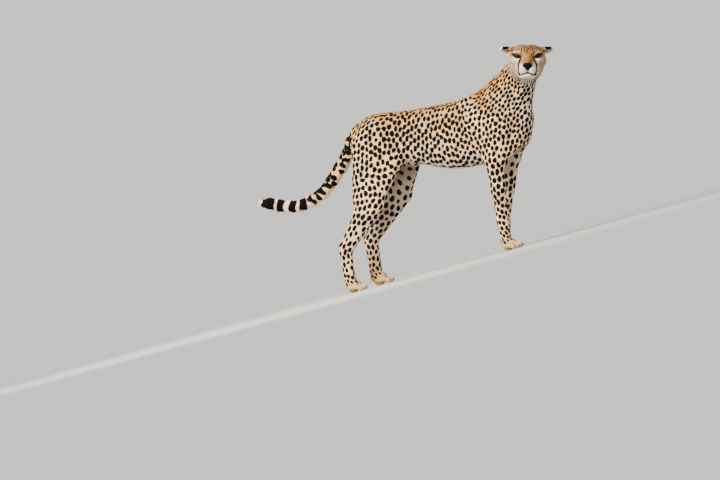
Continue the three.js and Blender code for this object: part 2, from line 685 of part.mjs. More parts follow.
function head() {
  const { skin, root } = headSkin();
  let cut = skin.subtract(beyond(root)).subtract(nosePad(GAP)).subtract(mouth());
  for (const s of [-1, 1]) {
    const turn = new THREE.Matrix4()
      .makeTranslation(eyeAt(s))
      .multiply(new THREE.Matrix4().makeRotationZ(degrees(s * EYE.outward)))
      .multiply(new THREE.Matrix4().makeRotationX(degrees(s * EYE.slant)))
      .multiply(new THREE.Matrix4().makeScale(1, s, 1));
    const opening = almond();
    cut = cut.subtract(solid(eyeball(EYE.radius + GAP).translate(...eyeAt(s).toArray())));
    opening.applyMatrix4(turn);
    cut = cut.subtract(solid(s < 0 ? flipped(opening) : opening));
  }
  return skinOf(cut);
}

// A mirrored geometry with its faces turned out again.
function flipped(geometry) {
  const merged = mergeVertices(geometry.clone().deleteAttribute("normal").deleteAttribute("uv"), 1e-4);
  const index = Array.from(merged.index.array);
  for (let i = 0; i < index.length; i += 3) [index[i + 1], index[i + 2]] = [index[i + 2], index[i + 1]];
  return merged.setIndex(index);
}

function ear(s, headGrown) {
  const { root, length, width, depth, wall } = EAR;
  const tip = at(-0.3, s * 0.94, 0.16).normalize();
  const opening = at(0.42, s * 0.34, -0.84).normalize();
  const across = opening.clone().cross(tip).normalize();
  const inward = tip.clone().cross(across).normalize();
  const frame = new THREE.Matrix4().makeBasis(tip, across, inward);
  const centre = at(root.x, s * root.y, root.z).addScaledVector(tip, length * 0.5);
  const shell = (l, w, d, sink) =>
    new THREE.SphereGeometry(1, 12, 8)
      .scale(l, w, d)
      .translate(0, 0, sink)
      .applyMatrix4(frame)
      .translate(centre.x, centre.y, centre.z);
  const cup = solid(shell(length, width, depth, 0))
    .subtract(solid(shell(length - wall, width - wall, depth, depth * 0.46)))
    .subtract(headGrown);
  return skinOf(cup);
}

function foreleg(side) {
  const root = mirrored(FORELEG_ROOT, side);
  const { wrist, foretoes } = JOINTS[side];
  const start = root.at.clone().addScaledVector(root.normal, GAP);
  const path = [start, start.clone().lerp(wrist, 0.5), wrist, off(foretoes, 0, 0, FOREPAW_TOP)];
  return wrap(body, stationsOn(path, 13, root.normal, at(0, 0, -1)), 20);
}

function hindLeg(side) {
  const s = SIDES[side];
  const { hip, knee, ankle, toes } = JOINTS[side];
  const own = (p) => Math.max(body(p), GAP - s * p.y);
  const start = at(THIGH_ROOT.at.x, s * THIGH_MIDDLE_Y, THIGH_ROOT.at.z).addScaledVector(THIGH_ROOT.normal, GAP);
  const kneeMiddle = off(knee, -46, -s * 6, 2);
  const calf = kneeMiddle.clone().lerp(ankle, 0.62);
  const shin = ankle.clone().sub(knee).normalize();
  const thighEnd = THIGH_ROOT.normal.clone().lerp(shin, 0.72).normalize();
  const shinEnd = off(ankle, 22, 0, 20);
  const thigh = [start, start.clone().lerp(kneeMiddle, 0.5), kneeMiddle];
  const step = (p, way) => p.clone().addScaledVector(way, GAP);
  const hockEnd = off(toes, 0, 0, HINDPAW_TOP);
  return {
    thigh: wrap(own, stationsOn(thigh, 9, THIGH_ROOT.normal, thighEnd), 26),
    shank: wrap(own, stationsOn([step(kneeMiddle, thighEnd), calf, shinEnd], 9, thighEnd, shin), 20),
    hock: wrap(own, stationsOn([step(shinEnd, shin), off(ankle, 0, 0, -12), hockEnd], 10, shin, at(0, 0, -1)), 18),
  };
}

// The toes of a paw spring from under the foot's joint and point along +X in the paw's own frame.
function toe(i) {
  const place = i - (TOE.count - 1) / 2;
  const reach = TOE.reach + (Math.abs(place) < 1 ? TOE.longer : 0);
  const y = place * TOE.spread;
  const root = at(-2, y * 0.7, 24);
  const knuckle = at(reach * 0.62, y, TOE.knuckle);
  const tip = at(reach, y * 1.1, 10);
  return { root, knuckle, tip, ahead: tip.clone().sub(root).normalize() };
}

function toeSkin(i) {
  const { root, knuckle, tip, ahead } = toe(i);
  const field = gather([
    [rod(root, knuckle, TOE.radius, TOE.radius + 0.6), 1],
    [rod(knuckle, tip, TOE.radius + 0.4, TOE.radius - 1.4), 6],
  ]);
  const shaft = stationsOn([root, knuckle, tip], 4, ahead, ahead);
  return wrap(field, [...dome(root, ahead, [-50]), ...shaft, ...dome(tip, ahead, [40])], 6);
}

// A claw leaves the top of its toe's end and hooks down towards the floor.
function claw(i, grown = 0) {
  const { tip } = toe(i);
  const path = [at(5, 0, 5), at(13, 0, 5), at(19, 0, 1), at(22, 0, -5)].map((p) => p.add(tip));
  path[0].x -= grown;
  const radius = [CLAW.radius, CLAW.radius * 0.94, CLAW.radius * 0.6, CLAW.radius * 0.2];
  const field = gather(path.slice(1).map((p, k) => [rod(path[k], p, radius[k] + grown, radius[k + 1] + grown, 0.7), 1]));
  const last = path.length - 1;
  const way = (k) => path[Math.min(k + 1, last)].clone().sub(path[Math.max(k - 1, 0)]).normalize();
  return wrap(field, path.map((centre, k) => ({ centre, ahead: way(k), tilt: k === last ? 30 : 0 })), 6);
}

const pawPlace = (heading, joint) =>
  new THREE.Matrix4().makeTranslation(joint.x, joint.y, 0).multiply(new THREE.Matrix4().makeRotationZ(degrees(heading)));
const TOES = Array.from({ length: TOE.count }, (_, i) => i);

// The foot below the leg's last cut, with its toes, flat where it meets the floor.
function paw(joint, top, heading) {
  const down = at(0, 0, -1);
  const start = off(joint, 0, 0, top - GAP);
  const end = off(joint, 6, 0, -14);
  const rings = [...stationsOn([start, end], 3, down, down), ...dome(end, down, [35])];
  const place = pawPlace(heading, joint);
  const whole = TOES.reduce((a, i) => a.add(solid(toeSkin(i).applyMatrix4(place))), solid(wrap(body, rings, 16)));
  const floor = beyond({ at: at(0, 0, 0), normal: down });
  const sockets = TOES.map((i) => solid(claw(i, GAP).applyMatrix4(place)));
  return skinOf(sockets.reduce((a, socket) => a.subtract(socket), whole.subtract(floor)));
}

// A length of the tail, between two shares of its axis; grown all round where it serves as a cutter.
function tailLength(from, to, grown = 0) {
  const path = [TAIL_ROOT.at, ...TAIL.slice(2).map((s) => s.at)];
  const field = (p) => tailField(p) - grown;
  const count = Math.round(TAIL_RINGS * (to - from)) + 1;
  const stations = stationsOn(path, count, null, null, from, to);
  const [first, last] = [stations[0], stations.at(-1)];
  if (!from) first.ahead = TAIL_ROOT.normal;
  first.centre.addScaledVector(first.ahead, from ? GAP : -grown);
  if (to === 1) stations.push(...dome(last.centre, last.ahead, [30, 60]));
  return wrap(field, stations, TAIL_SIDES);
}

// ---- bending the spine

const BEND = degrees(SPINE_BEND);
const BEND_RADIUS = (BEND_TO - BEND_FROM) / BEND;
function bent(p) {
  const angle = BEND * clamp((p.x - BEND_FROM) / (BEND_TO - BEND_FROM));
  const rest = Math.max(0, p.x - BEND_TO) + Math.min(0, p.x - BEND_FROM);
  return at(
    BEND_FROM + BEND_RADIUS * Math.sin(angle) + rest * Math.cos(angle) + p.y * Math.sin(angle),
    -BEND_RADIUS * (1 - Math.cos(angle)) - rest * Math.sin(angle) + p.y * Math.cos(angle),
    p.z,
  );
}

function bend(geometry) {
  const position = geometry.attributes.position;
  for (let i = 0; i < position.count; i++) {
    const p = bent(at(position.getX(i), position.getY(i), position.getZ(i)));
    position.setXYZ(i, p.x, p.y, p.z);
  }
  return geometry;
}

// ---- assembly

const cheetah = new THREE.Group();
function node(name, geometry, material, parent = cheetah) {
  const mesh = new THREE.Mesh(geometry, material);
  mesh.name = name;
  parent.add(mesh);
  return mesh;
}

node("torso", bend(torso()), materials.coat);
node("neck", bend(neck()), materials.coat);

const headGroup = new THREE.Group();
headGroup.position.copy(bent(HEAD.at));
headGroup.quaternion.setFromAxisAngle(UP, -BEND).multiply(HEAD_TURN);
cheetah.add(headGroup);
node("head", head(), materials.face, headGroup);
const headGrown = headSkin(GAP * 1.5).skin.add(headSkin().skin);
for (const [side, s] of Object.entries(SIDES)) {
  node(`ear_${side}`, ear(s, headGrown), materials.ear, headGroup);
  node(`eye_${side}`, eyeball(EYE.radius).translate(...eyeAt(s).toArray()), materials.eye, headGroup);
}
node("nose", skinOf(nosePad().subtract(nostril(1)).subtract(nostril(-1))), materials.nose, headGroup);

node("tail_root", tailLength(0, TAIL_PARTS[0]), materials.tail);
node("tail_middle", tailLength(...TAIL_PARTS), materials.tail);
node("tail_tip", tailLength(TAIL_PARTS[1], 1), materials.tip);

for (const side of Object.keys(SIDES)) {
  const { toes, foretoes } = JOINTS[side];
  node(`foreleg_${side}`, bend(foreleg(side)), materials.coat);
  const { thigh, shank, hock } = hindLeg(side);
  node(`thigh_${side}`, thigh, materials.coat);
  node(`shank_${side}`, shank, materials.coat);
  node(`hock_${side}`, hock, materials.pale);
  const feet = {
    forepaw: { joint: foretoes, top: FOREPAW_TOP, heading: FORE[side].foot.heading, shape: bend },
    hindpaw: { joint: toes, top: HINDPAW_TOP, heading: HIND[side].foot.heading, shape: (geometry) => geometry },
  };
  for (const [name, { joint, top, heading, shape }] of Object.entries(feet)) {
    node(`${name}_${side}`, shape(paw(joint, top, heading)), materials.pale);
    for (const i of TOES) {
      const geometry = claw(i).applyMatrix4(pawPlace(heading, joint));
      node(`${name}_${side}_claw_${i + 1}`, shape(geometry), materials.claw);
    }
  }
}

const box = new THREE.Box3().setFromObject(cheetah, true);
const middle = box.getCenter(at(0, 0, 0));
cheetah.position.set(-middle.x, -middle.y, -box.min.z);
export default cheetah;
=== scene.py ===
import itertools
import json
import math

import bpy
from mathutils import Matrix, Vector, kdtree
import numpy as np

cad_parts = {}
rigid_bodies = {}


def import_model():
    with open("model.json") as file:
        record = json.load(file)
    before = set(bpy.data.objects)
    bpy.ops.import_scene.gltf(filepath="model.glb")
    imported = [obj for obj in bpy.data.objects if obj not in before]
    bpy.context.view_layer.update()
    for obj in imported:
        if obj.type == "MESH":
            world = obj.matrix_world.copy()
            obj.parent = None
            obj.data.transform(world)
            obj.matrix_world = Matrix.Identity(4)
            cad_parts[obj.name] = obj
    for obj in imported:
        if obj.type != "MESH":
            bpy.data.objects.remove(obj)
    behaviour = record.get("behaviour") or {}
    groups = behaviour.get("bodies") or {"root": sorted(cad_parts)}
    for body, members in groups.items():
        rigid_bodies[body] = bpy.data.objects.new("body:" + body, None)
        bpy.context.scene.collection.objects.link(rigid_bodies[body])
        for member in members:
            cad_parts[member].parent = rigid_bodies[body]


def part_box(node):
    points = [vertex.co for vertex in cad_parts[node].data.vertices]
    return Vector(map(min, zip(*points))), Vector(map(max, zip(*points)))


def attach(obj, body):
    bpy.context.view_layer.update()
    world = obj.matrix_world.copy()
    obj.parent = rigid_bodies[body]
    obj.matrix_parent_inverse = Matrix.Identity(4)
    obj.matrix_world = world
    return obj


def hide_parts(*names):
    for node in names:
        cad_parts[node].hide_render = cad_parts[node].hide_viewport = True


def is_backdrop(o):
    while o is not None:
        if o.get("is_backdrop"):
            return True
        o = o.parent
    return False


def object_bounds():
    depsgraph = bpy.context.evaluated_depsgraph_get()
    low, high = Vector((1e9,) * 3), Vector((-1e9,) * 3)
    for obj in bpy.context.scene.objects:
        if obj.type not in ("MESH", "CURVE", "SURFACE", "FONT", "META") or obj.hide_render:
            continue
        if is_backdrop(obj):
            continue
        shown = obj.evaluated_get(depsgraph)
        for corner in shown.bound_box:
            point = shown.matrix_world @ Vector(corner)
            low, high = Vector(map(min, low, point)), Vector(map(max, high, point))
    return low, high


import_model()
CAD_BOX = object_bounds()

# A standing cheetah: one skin over the whole body, its markings, a short coat of solid tufts, the eyes,
# the nose, the claws and the whiskers. Shapes are worked out in millimetres on a body with a straight
# spine, +X towards the chest, +Y to the animal's left and +Z up. place() then bends the spine, sets the
# body where the solids stand, and turns millimetres into metres.

bl_info = {
    "name": "Cheetah",
    "version": (1, 0, 0),
    "blender": (4, 5, 0),
    "location": "View3D > Sidebar > Cheetah",
    "description": "Builds a standing cheetah with its coat, face, claws, floor and lights",
    "category": "Add Mesh",
}

SEED = 20
MM = 0.001
SIDES = {"right": -1, "left": 1}
UP = np.array([0.0, 0.0, 1.0])
FAR = 1e4


def vec(*numbers):
    return np.array(numbers, float)


def unit(v):
    return v / np.maximum(np.linalg.norm(v, axis=-1, keepdims=True), 1e-9)


def ease(t, low=0.0, high=1.0):
    """0 below low, 1 above high, and a smooth step between them."""
    t = np.clip((t - low) / (high - low), 0, 1)
    return t * t * (3 - 2 * t)


def mix(a, b, t):
    return a + (b - a) * t


def dot(a, b):
    """Row by row."""
    return np.einsum("ij,ij->i", a, b)


def flattened(v, normal):
    """What is left of vectors along the surface."""
    return v - normal * dot(v, normal)[:, None]


def beside(a, b, p, low=0, high=1):
    """How far along from a to b each point is, between low and high, and the way to it from there."""
    along = b - a
    t = np.clip((p - a) @ along / max(along @ along, 1e-9), low, high)
    return t, p - a - t[:, None] * along


def turn_about(axis, degrees):
    """A rotation matrix about a unit axis."""
    a, (x, y, z) = math.radians(degrees), axis
    cross = np.array([[0, -z, y], [z, 0, -x], [-y, x, 0]])
    return np.eye(3) + math.sin(a) * cross + (1 - math.cos(a)) * cross @ cross


# ---- sizes of the body

# Stations of the trunk: place along the spine, top, bottom, half the width.
STATIONS = np.array([
    (-345, 692, 668, 12),
    (-329, 718, 636, 38),
    (-293, 752, 606, 60),
    (-243, 781, 583, 74),
    (-183, 785, 554, 80),
    (-114, 775, 526, 77),
    (-34, 762, 498, 77),
    (45, 754, 462, 88),
    (115, 749, 437, 96),
    (184, 744, 425, 100),
    (254, 743, 420, 98),
    (324, 734, 420, 90),
    (394, 712, 426, 80),
    (454, 688, 438, 70),
    (510, 660, 463, 54),
    (551, 620, 524, 26),
], float)
TRUNK_SQUARENESS = 2.25
SPINE_BEND = math.radians(9)
BEND_FROM, BEND_TO = -100, 260

HIP, FEMUR, TIBIA = vec(-246, 60, 645), 262, 280
# How the bones of each leg lean, the fold of the flank, and each foot's place and heading.
HIND = {
    "right": {
        "femur": -6.4,
        "tibia": -49.5,
        "fold": (-140, 44, 36),
        "cannon": (32, 28),
        "foot": (-508, 74),
        "heading": -6,
    },
    "left": {
        "femur": 13.6,
        "tibia": -50.6,
        "fold": (-84, 52, 46),
        "cannon": (36, 31),
        "foot": (-417, 74),
        "heading": 5,
    },
}
FOOT_JOINT, HOCK_Y, KNEE_Y = 42, 78, 88
SHOULDER, BLADE = vec(418, 78, 551), vec(276, 34, 700)
FORE = {
    "right": {"elbow": 352, "wrist": 308, "foot": (298, 70), "heading": -14},
    "left": {"elbow": 366, "wrist": 250, "foot": (235, 70), "heading": 6},
}
ELBOW, WRIST, FORE_FOOT_JOINT = (82, 416), (73, 132), 36
LEGS = {"fore": FORE, "hind": HIND}
BONES = {"fore": ("shoulder", "elbow", "wrist", "foretoes"), "hind": ("hip", "knee", "ankle", "toes")}

# The neck and the tail: middles and radii.
NECK = (
    (vec(388, 0, 654), 112),
    (vec(470, -3, 703), 100),
    (vec(539, -12, 752), 84),
    (vec(604, -28, 803), 70),
)
NECK_FLAT = 0.76
TAIL = (
    (vec(-296, 0, 716), 36),
    (vec(-332, 0, 682), 35),
    (vec(-372, 2, 636), 33),
    (vec(-428, 5, 585), 32),
    (vec(-484, 9, 536), 31),
    (vec(-545, 14, 492), 30),
    (vec(-608, 18, 470), 30),
    (vec(-668, 21, 461), 30),
    (vec(-722, 22, 469), 30),
    (vec(-770, 23, 489), 29),
    (vec(-812, 24, 509), 27),
    (vec(-846, 24, 519), 20),
)
TAIL_POINTS = np.array([a for a, _ in TAIL])

# The head's own frame has its origin midway between the eyes, +X out of the face and +Z to the crown.
HEAD_AT = vec(662, -98, 850)
HEAD_TURN = turn_about(UP, -65) @ turn_about(vec(1, 0, 0), -15.4)
EYE = {"at": vec(2, 45, 0), "radius": 17.5, "outward": 12, "slant": 14, "lid": 3.0}
LIDS = {"width": 30, "height": 15.5, "low": 2.0}
EAR = {"root": vec(-52, 66, 22), "length": 42, "width": 23, "depth": 16, "wall": 4.5}
NOSE = {"at": vec(66, 0, -48), "half": vec(14, 21, 13)}
MOUTH = [
    (58, 0, -80),
    (61, 10, -84),
    (58, 19, -88),
    (50, 26, -90),
    (38, 31, -91),
    (27, 37, -89),
    (20, 42, -87),
]
TEAR_LINE = [(0, 30, -9), (0, 35, -24), (0, 41.5, -40), (0, 42.5, -60), (0, 40, -78), (0, 33, -89)]
TOE = {"count": 4, "spread": 18.5, "radius": 12, "reach": 56, "longer": 8, "knuckle": 22}


def to_head(p):
    return (p - HEAD_AT) @ HEAD_TURN


def from_head(p):
    return p @ HEAD_TURN.T + HEAD_AT


def bent(p):
    """The straight spine's points, with the forebody swung to the right."""
    radius = (BEND_TO - BEND_FROM) / SPINE_BEND
    angle = SPINE_BEND * np.clip((p[:, 0] - BEND_FROM) / (BEND_TO - BEND_FROM), 0, 1)
    rest = np.maximum(0, p[:, 0] - BEND_TO) + np.minimum(0, p[:, 0] - BEND_FROM)
    x = BEND_FROM + radius * np.sin(angle) + rest * np.cos(angle) + p[:, 1] * np.sin(angle)
    y = -radius * (1 - np.cos(angle)) - rest * np.sin(angle) + p[:, 1] * np.cos(angle)
    return np.stack([x, y, p[:, 2]], axis=1)


def set_down():
    """From the body's own origin to the solids', in millimetres, read off where the solids' eye is."""
    lo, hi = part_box("eye_right")
    eye = bent(from_head(vec(EYE["at"][0], -EYE["at"][1], EYE["at"][2])[None]))[0]
    return (np.array(lo) + np.array(hi)) / 2 / MM - eye


BODY_AT = set_down()


def place(p):
    return (bent(p) + BODY_AT) * MM


# ---- flesh: signed distances, negative inside, in millimetres

SKIRT = 14  # a form is worked out this far outside itself


def flow(a, b, k):
    """Two bodies of flesh that run together over a fillet of size k."""
    h = np.maximum(k - np.abs(a - b), 0) / k
    return np.minimum(a, b) - h * h * k / 4


def rod(a, b, ra, rb, fillet, flat=1.0):
    """A rod with round ends. flat squeezes it from side to side."""
    reach = max(ra, rb)

    def distance(p):
        t, q = beside(a, b, p)
        across = q[:, 1]
        rest = dot(q, q) - across**2
        size = np.sqrt(np.maximum(rest + (across / flat) ** 2, 0))
        slope = np.sqrt(np.maximum(rest + (across / flat**2) ** 2, 1e-12))
        return (size - mix(ra, rb, t)) * size / slope

    return distance, np.minimum(a, b) - reach, np.maximum(a, b) + reach, fillet


def ball(centre, half, fillet, axes=np.eye(3)):
    """A ball with three half sizes, along the columns of axes."""
    half = np.asarray(half, float)

    def distance(p):
        q = (p - centre) @ axes
        size = np.linalg.norm(q / half, axis=1)
        slope = np.maximum(np.linalg.norm(q / half**2, axis=1), 1e-9)
        return size * (size - 1) / slope

    return distance, centre - half.max(), centre + half.max(), fillet


def gather(forms, p):
    """All forms flowed together, in order."""
    d = np.full(len(p), FAR)
    for distance, lo, hi, fillet in forms:
        skirt = fillet + SKIRT
        near = np.flatnonzero(np.all((p > lo - skirt) & (p < hi + skirt), axis=1))
        if near.size:
            d[near] = flow(d[near], distance(p[near]), fillet)
    return d


def trunk_form():
    xs = STATIONS[:, 0]
    slopes = np.empty((len(xs), 3))
    for i in range(len(xs)):
        a, b = STATIONS[max(0, i - 1)], STATIONS[min(len(xs) - 1, i + 1)]
        slopes[i] = (b[1:] - a[1:]) / (b[0] - a[0])

    def distance(p):
        i = np.clip(np.searchsorted(xs, p[:, 0], side="right") - 1, 0, len(xs) - 2)
        w = (xs[i + 1] - xs[i])[:, None]
        t = np.clip((p[:, :1] - xs[i][:, None]) / w, 0, 1)
        size = (
            (2 * t**3 - 3 * t**2 + 1) * STATIONS[i, 1:]
            + (t**3 - 2 * t**2 + t) * w * slopes[i]
            + (3 * t**2 - 2 * t**3) * STATIONS[i + 1, 1:]
            + (t**3 - t**2) * w * slopes[i + 1]
        )
        top, bottom, half = size.T
        n, height = TRUNK_SQUARENESS, (top - bottom) / 2
        above = p[:, 2] - (top + bottom) / 2
        reach = (np.abs(p[:, 1] / half) ** n + np.abs(above / height) ** n) ** (1 / n)
        beyond = np.maximum(xs[0] - p[:, 0], p[:, 0] - xs[-1])
        return np.maximum((reach - 1) * np.minimum(half, height), beyond)

    return distance, vec(xs[0], -130, 380), vec(xs[-1], 130, 820), 1


def chain(points, flat, fillet, first=40):
    return [
        rod(a, b, ra, rb, fillet if i else first, flat)
        for i, ((a, ra), (b, rb)) in enumerate(zip(points, points[1:]))
    ]


def leaning(start, length, lean):
    a = math.radians(lean)
    return start + vec(length * math.sin(a), 0, -length * math.cos(a))


def leg_joints(side):
    s, hind, fore = SIDES[side], HIND[side], FORE[side]
    hip = HIP * (1, s, 1)
    knee = leaning(hip, FEMUR, hind["femur"])
    ankle = leaning(knee, TIBIA, hind["tibia"])
    knee[1], ankle[1] = s * KNEE_Y, s * HOCK_Y
    return {
        "hip": hip,
        "knee": knee,
        "ankle": ankle,
        "toes": vec(hind["foot"][0], s * hind["foot"][1], FOOT_JOINT),
        "shoulder": SHOULDER * (1, s, 1),
        "elbow": vec(fore["elbow"], s * ELBOW[0], ELBOW[1]),
        "wrist": vec(fore["wrist"], s * WRIST[0], WRIST[1]),
        "foretoes": vec(fore["foot"][0], s * fore["foot"][1], FORE_FOOT_JOINT),
    }


JOINTS = {side: leg_joints(side) for side in SIDES}
PAWS = [(kind, side) for kind in ("fore", "hind") for side in SIDES]


def paw_frame(kind, side):
    """A paw's origin on the floor and its turn. Its toes point along +X."""
    joint = JOINTS[side][BONES[kind][-1]]
    return vec(joint[0], joint[1], 0), turn_about(UP, LEGS[kind][side]["heading"])


def toe_joints(i):
    off_middle = i - (TOE["count"] - 1) / 2
    reach = TOE["reach"] + (TOE["longer"] if abs(off_middle) < 1 else 0)
    y = off_middle * TOE["spread"]
    return vec(-2, y * 0.7, 24), vec(reach * 0.62, y, TOE["knuckle"]), vec(reach, y * 1.1, 10)


def toe_forms(kind, side):
    origin, turn = paw_frame(kind, side)
    forms = []
    for i in range(TOE["count"]):
        root, knuckle, tip = (turn @ p + origin for p in toe_joints(i))
        r = TOE["radius"]
        forms.append(rod(root, knuckle, r, r + 0.4, 1.6))
        forms.append(rod(knuckle, tip, r + 0.4, r - 1.4, 2.4))
    return forms


def hind_leg(side):
    s = SIDES[side]
    hip, knee, ankle, toes = (JOINTS[side][name] for name in BONES["hind"])
    fold_x, fold_top, fold_knee = HIND[side]["fold"]
    hock_end, foot_end = HIND[side]["cannon"]
    fold = vec(fold_x, s * 54, 556)
    return [
        rod(hip + (34, -s * 6, 18), knee + (-22, -s * 8, 44), 88, 56, 40, 0.6),
        rod(fold, knee + (-4, -s * 2, 12), fold_top, fold_knee, 34, 0.66),
        rod(hip + (-36, -s * 8, 12), knee + (-84, -s * 10, 30), 50, 34, 30, 0.72),
        rod(knee + (-46, -s * 6, 12), ankle + (30, -s * 2, 34), 50, 28, 26, 0.66),
        rod(knee + (-4, 0, -8), ankle + (6, 0, 4), 42, 32, 20, 0.76),
        rod(ankle + (-14, 0, 22), ankle + (56, -s * 2, 92), 13, 12, 16, 0.8),
        rod(ankle + (2, 0, 2), ankle + (-8, 0, 12), 31, 24, 14, 0.8),
        rod(ankle + (0, 0, -8), toes, hock_end, foot_end, 14, 0.8),
        rod(toes + (2, 0, 2), toes + (26, 0, -10), 26, 24, 10, 1.12),
        ball(vec(toes[0] + 8, toes[1], 12), (24, 24, 15), 8),
    ]


def foreleg(side):
    s = SIDES[side]
    shoulder, elbow, wrist, toes = (JOINTS[side][name] for name in BONES["fore"])
    blade = BLADE * (1, s, 1)
    return [
        rod(blade, shoulder + (-28, 0, 30), 34, 52, 44, 0.62),
        rod(shoulder, elbow + (8, 0, 14), 48, 40, 34, 0.74),
        rod(blade + (40, s * 34, -72), elbow + (-16, 0, 26), 62, 34, 34, 0.56),
        rod(vec(468, s * 44, 486), elbow + (24, -s * 4, 14), 34, 34, 30, 0.8),
        rod(elbow, mix(elbow, wrist, 0.45), 46, 37, 26, 0.74),
        rod(mix(elbow, wrist, 0.42), wrist, 37, 30, 14, 0.76),
        rod(wrist + (0, 0, 8), wrist + (0, 0, -14), 31, 29, 10, 0.8),
        rod(wrist + (-28, 0, 4), wrist + (-35, 0, -4), 9, 6.5, 9),
        rod(wrist, toes, 28, 27, 12, 0.84),
        rod(toes + (0, 0, 2), toes + (22, 0, -10), 26, 25, 10, 1.16),
        ball(vec(toes[0] + 6, toes[1], 12), (26, 27, 15), 8),
    ]


def head_forms():
    """The head's flesh, in its own frame."""
    both = []
    for s in (-1, 1):
        both += [
            rod(vec(14, s * 19, 15), vec(-8, s * 50, 12), 13, 14, 12),
            rod(vec(-6, s * 34, -34), vec(42, s * 20, -56), 27, 22, 16),
            ball(vec(-14, s * 48, -26), (42, 27, 27), 24),
            ball(vec(-46, s * 46, -46), (46, 32, 40), 24),
            rod(vec(38, s * 14, -93), vec(-40, s * 38, -80), 14, 24, 18),
            rod(vec(-56, s * 56, 22), vec(-62, s * 70, -22), 22, 22, 18),
            ball(vec(-16, s * 57, -2), (22, 15, 20), 14),
            ball(vec(2, s * 38, -60), (34, 17, 22), 20),
            ball(vec(-48, s * 27, 16), (46, 30, 37), 12),
        ]
    pads = [ball(vec(50, s * 19, -67), (27, 20, 21), 6) for s in (-1, 1)]
    return [
        ball(vec(-60, 0, -3), (66, 62, 54), 20),
        ball(vec(-16, 0, 3), (38, 54, 44), 20),
        rod(vec(12, 0, -6), vec(60, 0, -40), 24, 17, 16),
        *both,
        rod(vec(-24, 0, -70), vec(-60, 0, -84), 34, 46, 24),
        *pads,
        ball(vec(48, 0, -94), (21, 22, 12), 7),
    ]


def eye_at(s):
    return EYE["at"] * (1, s, 1)


def eye_axes(s):
    """Columns: out of the eye, across it towards the animal's left, and up."""
    return turn_about(UP, s * EYE["outward"]) @ turn_about(vec(1, 0, 0), s * EYE["slant"])


def almond(s, q):
    """How far a point in the eye's own axes lies outside the opening of the lids, seen straight on."""
    u, v = q[:, 1] * s / (LIDS["width"] / 2), q[:, 2] + LIDS["low"]
    half = LIDS["height"] / 2
    arch = np.maximum(1 - u * u, 0)
    upper = half * 0.86 * arch**0.72 * (1 + 0.1 * u) + half * 0.1 * u
    lower = -half * arch**0.9 * (0.94 + 0.1 * u) + half * 0.1 * u
    return np.maximum(np.maximum(v - upper, lower - v), (np.abs(u) - 1) * LIDS["width"] / 2)


def ear_frame(s):
    tip = unit(vec(-0.3, s * 0.94, 0.16))
    opening = unit(vec(0.42, s * 0.34, -0.84))
    across = unit(np.cross(opening, tip))
    out = unit(np.cross(tip, across))
    return EAR["root"] * (1, s, 1) + tip * EAR["length"] * 0.5, np.stack([tip, across, out], axis=1)


def ear_field(s, p):
    centre, axes = ear_frame(s)
    length, width, depth, wall = EAR["length"], EAR["width"], EAR["depth"], EAR["wall"]
    shell = ball(centre, (length, width, depth), 1, axes)[0](p)
    cup_at = centre + axes[:, 2] * depth * 0.5
    cup = ball(cup_at, (length - wall, width - wall, depth), 1, axes)[0](p)
    return -flow(-shell, cup, 3)


def polyline_distance(line, p):
    """Distance of points from a line of points."""
    best, line = np.full(len(p), FAR), np.asarray(line, float)
    for a, b in zip(line, line[1:]):
        best = np.minimum(best, np.linalg.norm(beside(a, b, p)[1], axis=1))
    return best


def mirrored_line(line):
    return np.concatenate([(line * vec(1, -1, 1))[:0:-1], line])


HEAD_FORMS = head_forms()
BREAST = rod(vec(513, 2, 590), vec(575, -16, 738), 48, 42, 34)
NECK_FORMS = [*chain(NECK, NECK_FLAT, 20), BREAST]
TAIL_FORMS = chain(TAIL[1:], 1.0, 8)
LEG_MAKERS = {"fore": foreleg, "hind": hind_leg}
LEG_FORMS = [LEG_MAKERS[kind](side) + toe_forms(kind, side) for kind, side in PAWS]
TRUNK_FORMS = [trunk_form()]
TORSO_FORMS = [*TRUNK_FORMS, *NECK_FORMS, *sum(LEG_FORMS, []), *chain(TAIL[:2], 1.0, 40)]
HEAD_REACH, THROAT, TAIL_FILLET = 260, 30, 20
LIP_LINE = mirrored_line(MOUTH)


def carve(d, hollow, k):
    """Takes a hollow out of flesh, with its edge rounded over k."""
    return -flow(-d, hollow, k)


def face_details(d, q):
    """Sockets, lids, lips and the groove under the nose, on the head's flesh."""
    for s in (-1, 1):
        d = carve(d, ball(vec(24, s * 38, -1), (12, 17, 13), 1)[0](q), 12)
    for s in (-1, 1):
        d = np.where(s * q[:, 1] > 0, flow(d, ear_field(s, q), 7), d)
    for s in (-1, 1):
        eye = q - eye_at(s)
        out = np.linalg.norm(eye, axis=1)
        own = eye @ eye_axes(s)
        d = flow(d, out - EYE["radius"] - EYE["lid"], 5)
        gap = np.maximum(almond(s, own), -own[:, 0])
        d = carve(d, gap, 1.6)
        d = carve(d, out - EYE["radius"] - 0.4, 0.6)
        crease = np.abs(almond(s, own) - 6.5) - 0.4
        upper = np.maximum(crease, np.maximum(-own[:, 2], -own[:, 0] + 6))
        d = carve(d, np.maximum(upper, EYE["radius"] + 0.6 - out), 2.5)
    lips = polyline_distance(LIP_LINE, q) - 1.7
    d = carve(d, lips, 3.5)
    groove = polyline_distance([(80, 0, -62), (66, 0, -72), (62, 0, -79)], q) - 1.4
    d = carve(d, groove, 3)
    nose = ball(NOSE["at"], NOSE["half"] + 0.2, 1)[0](q)
    return carve(d, nose, 1.5)


def head_field(p):
    """The head with its details, joined to the neck, for points of the body near it."""
    q = to_head(p)
    d = flow(gather(NECK_FORMS, p), gather(HEAD_FORMS, q), THROAT)
    return face_details(d, q)


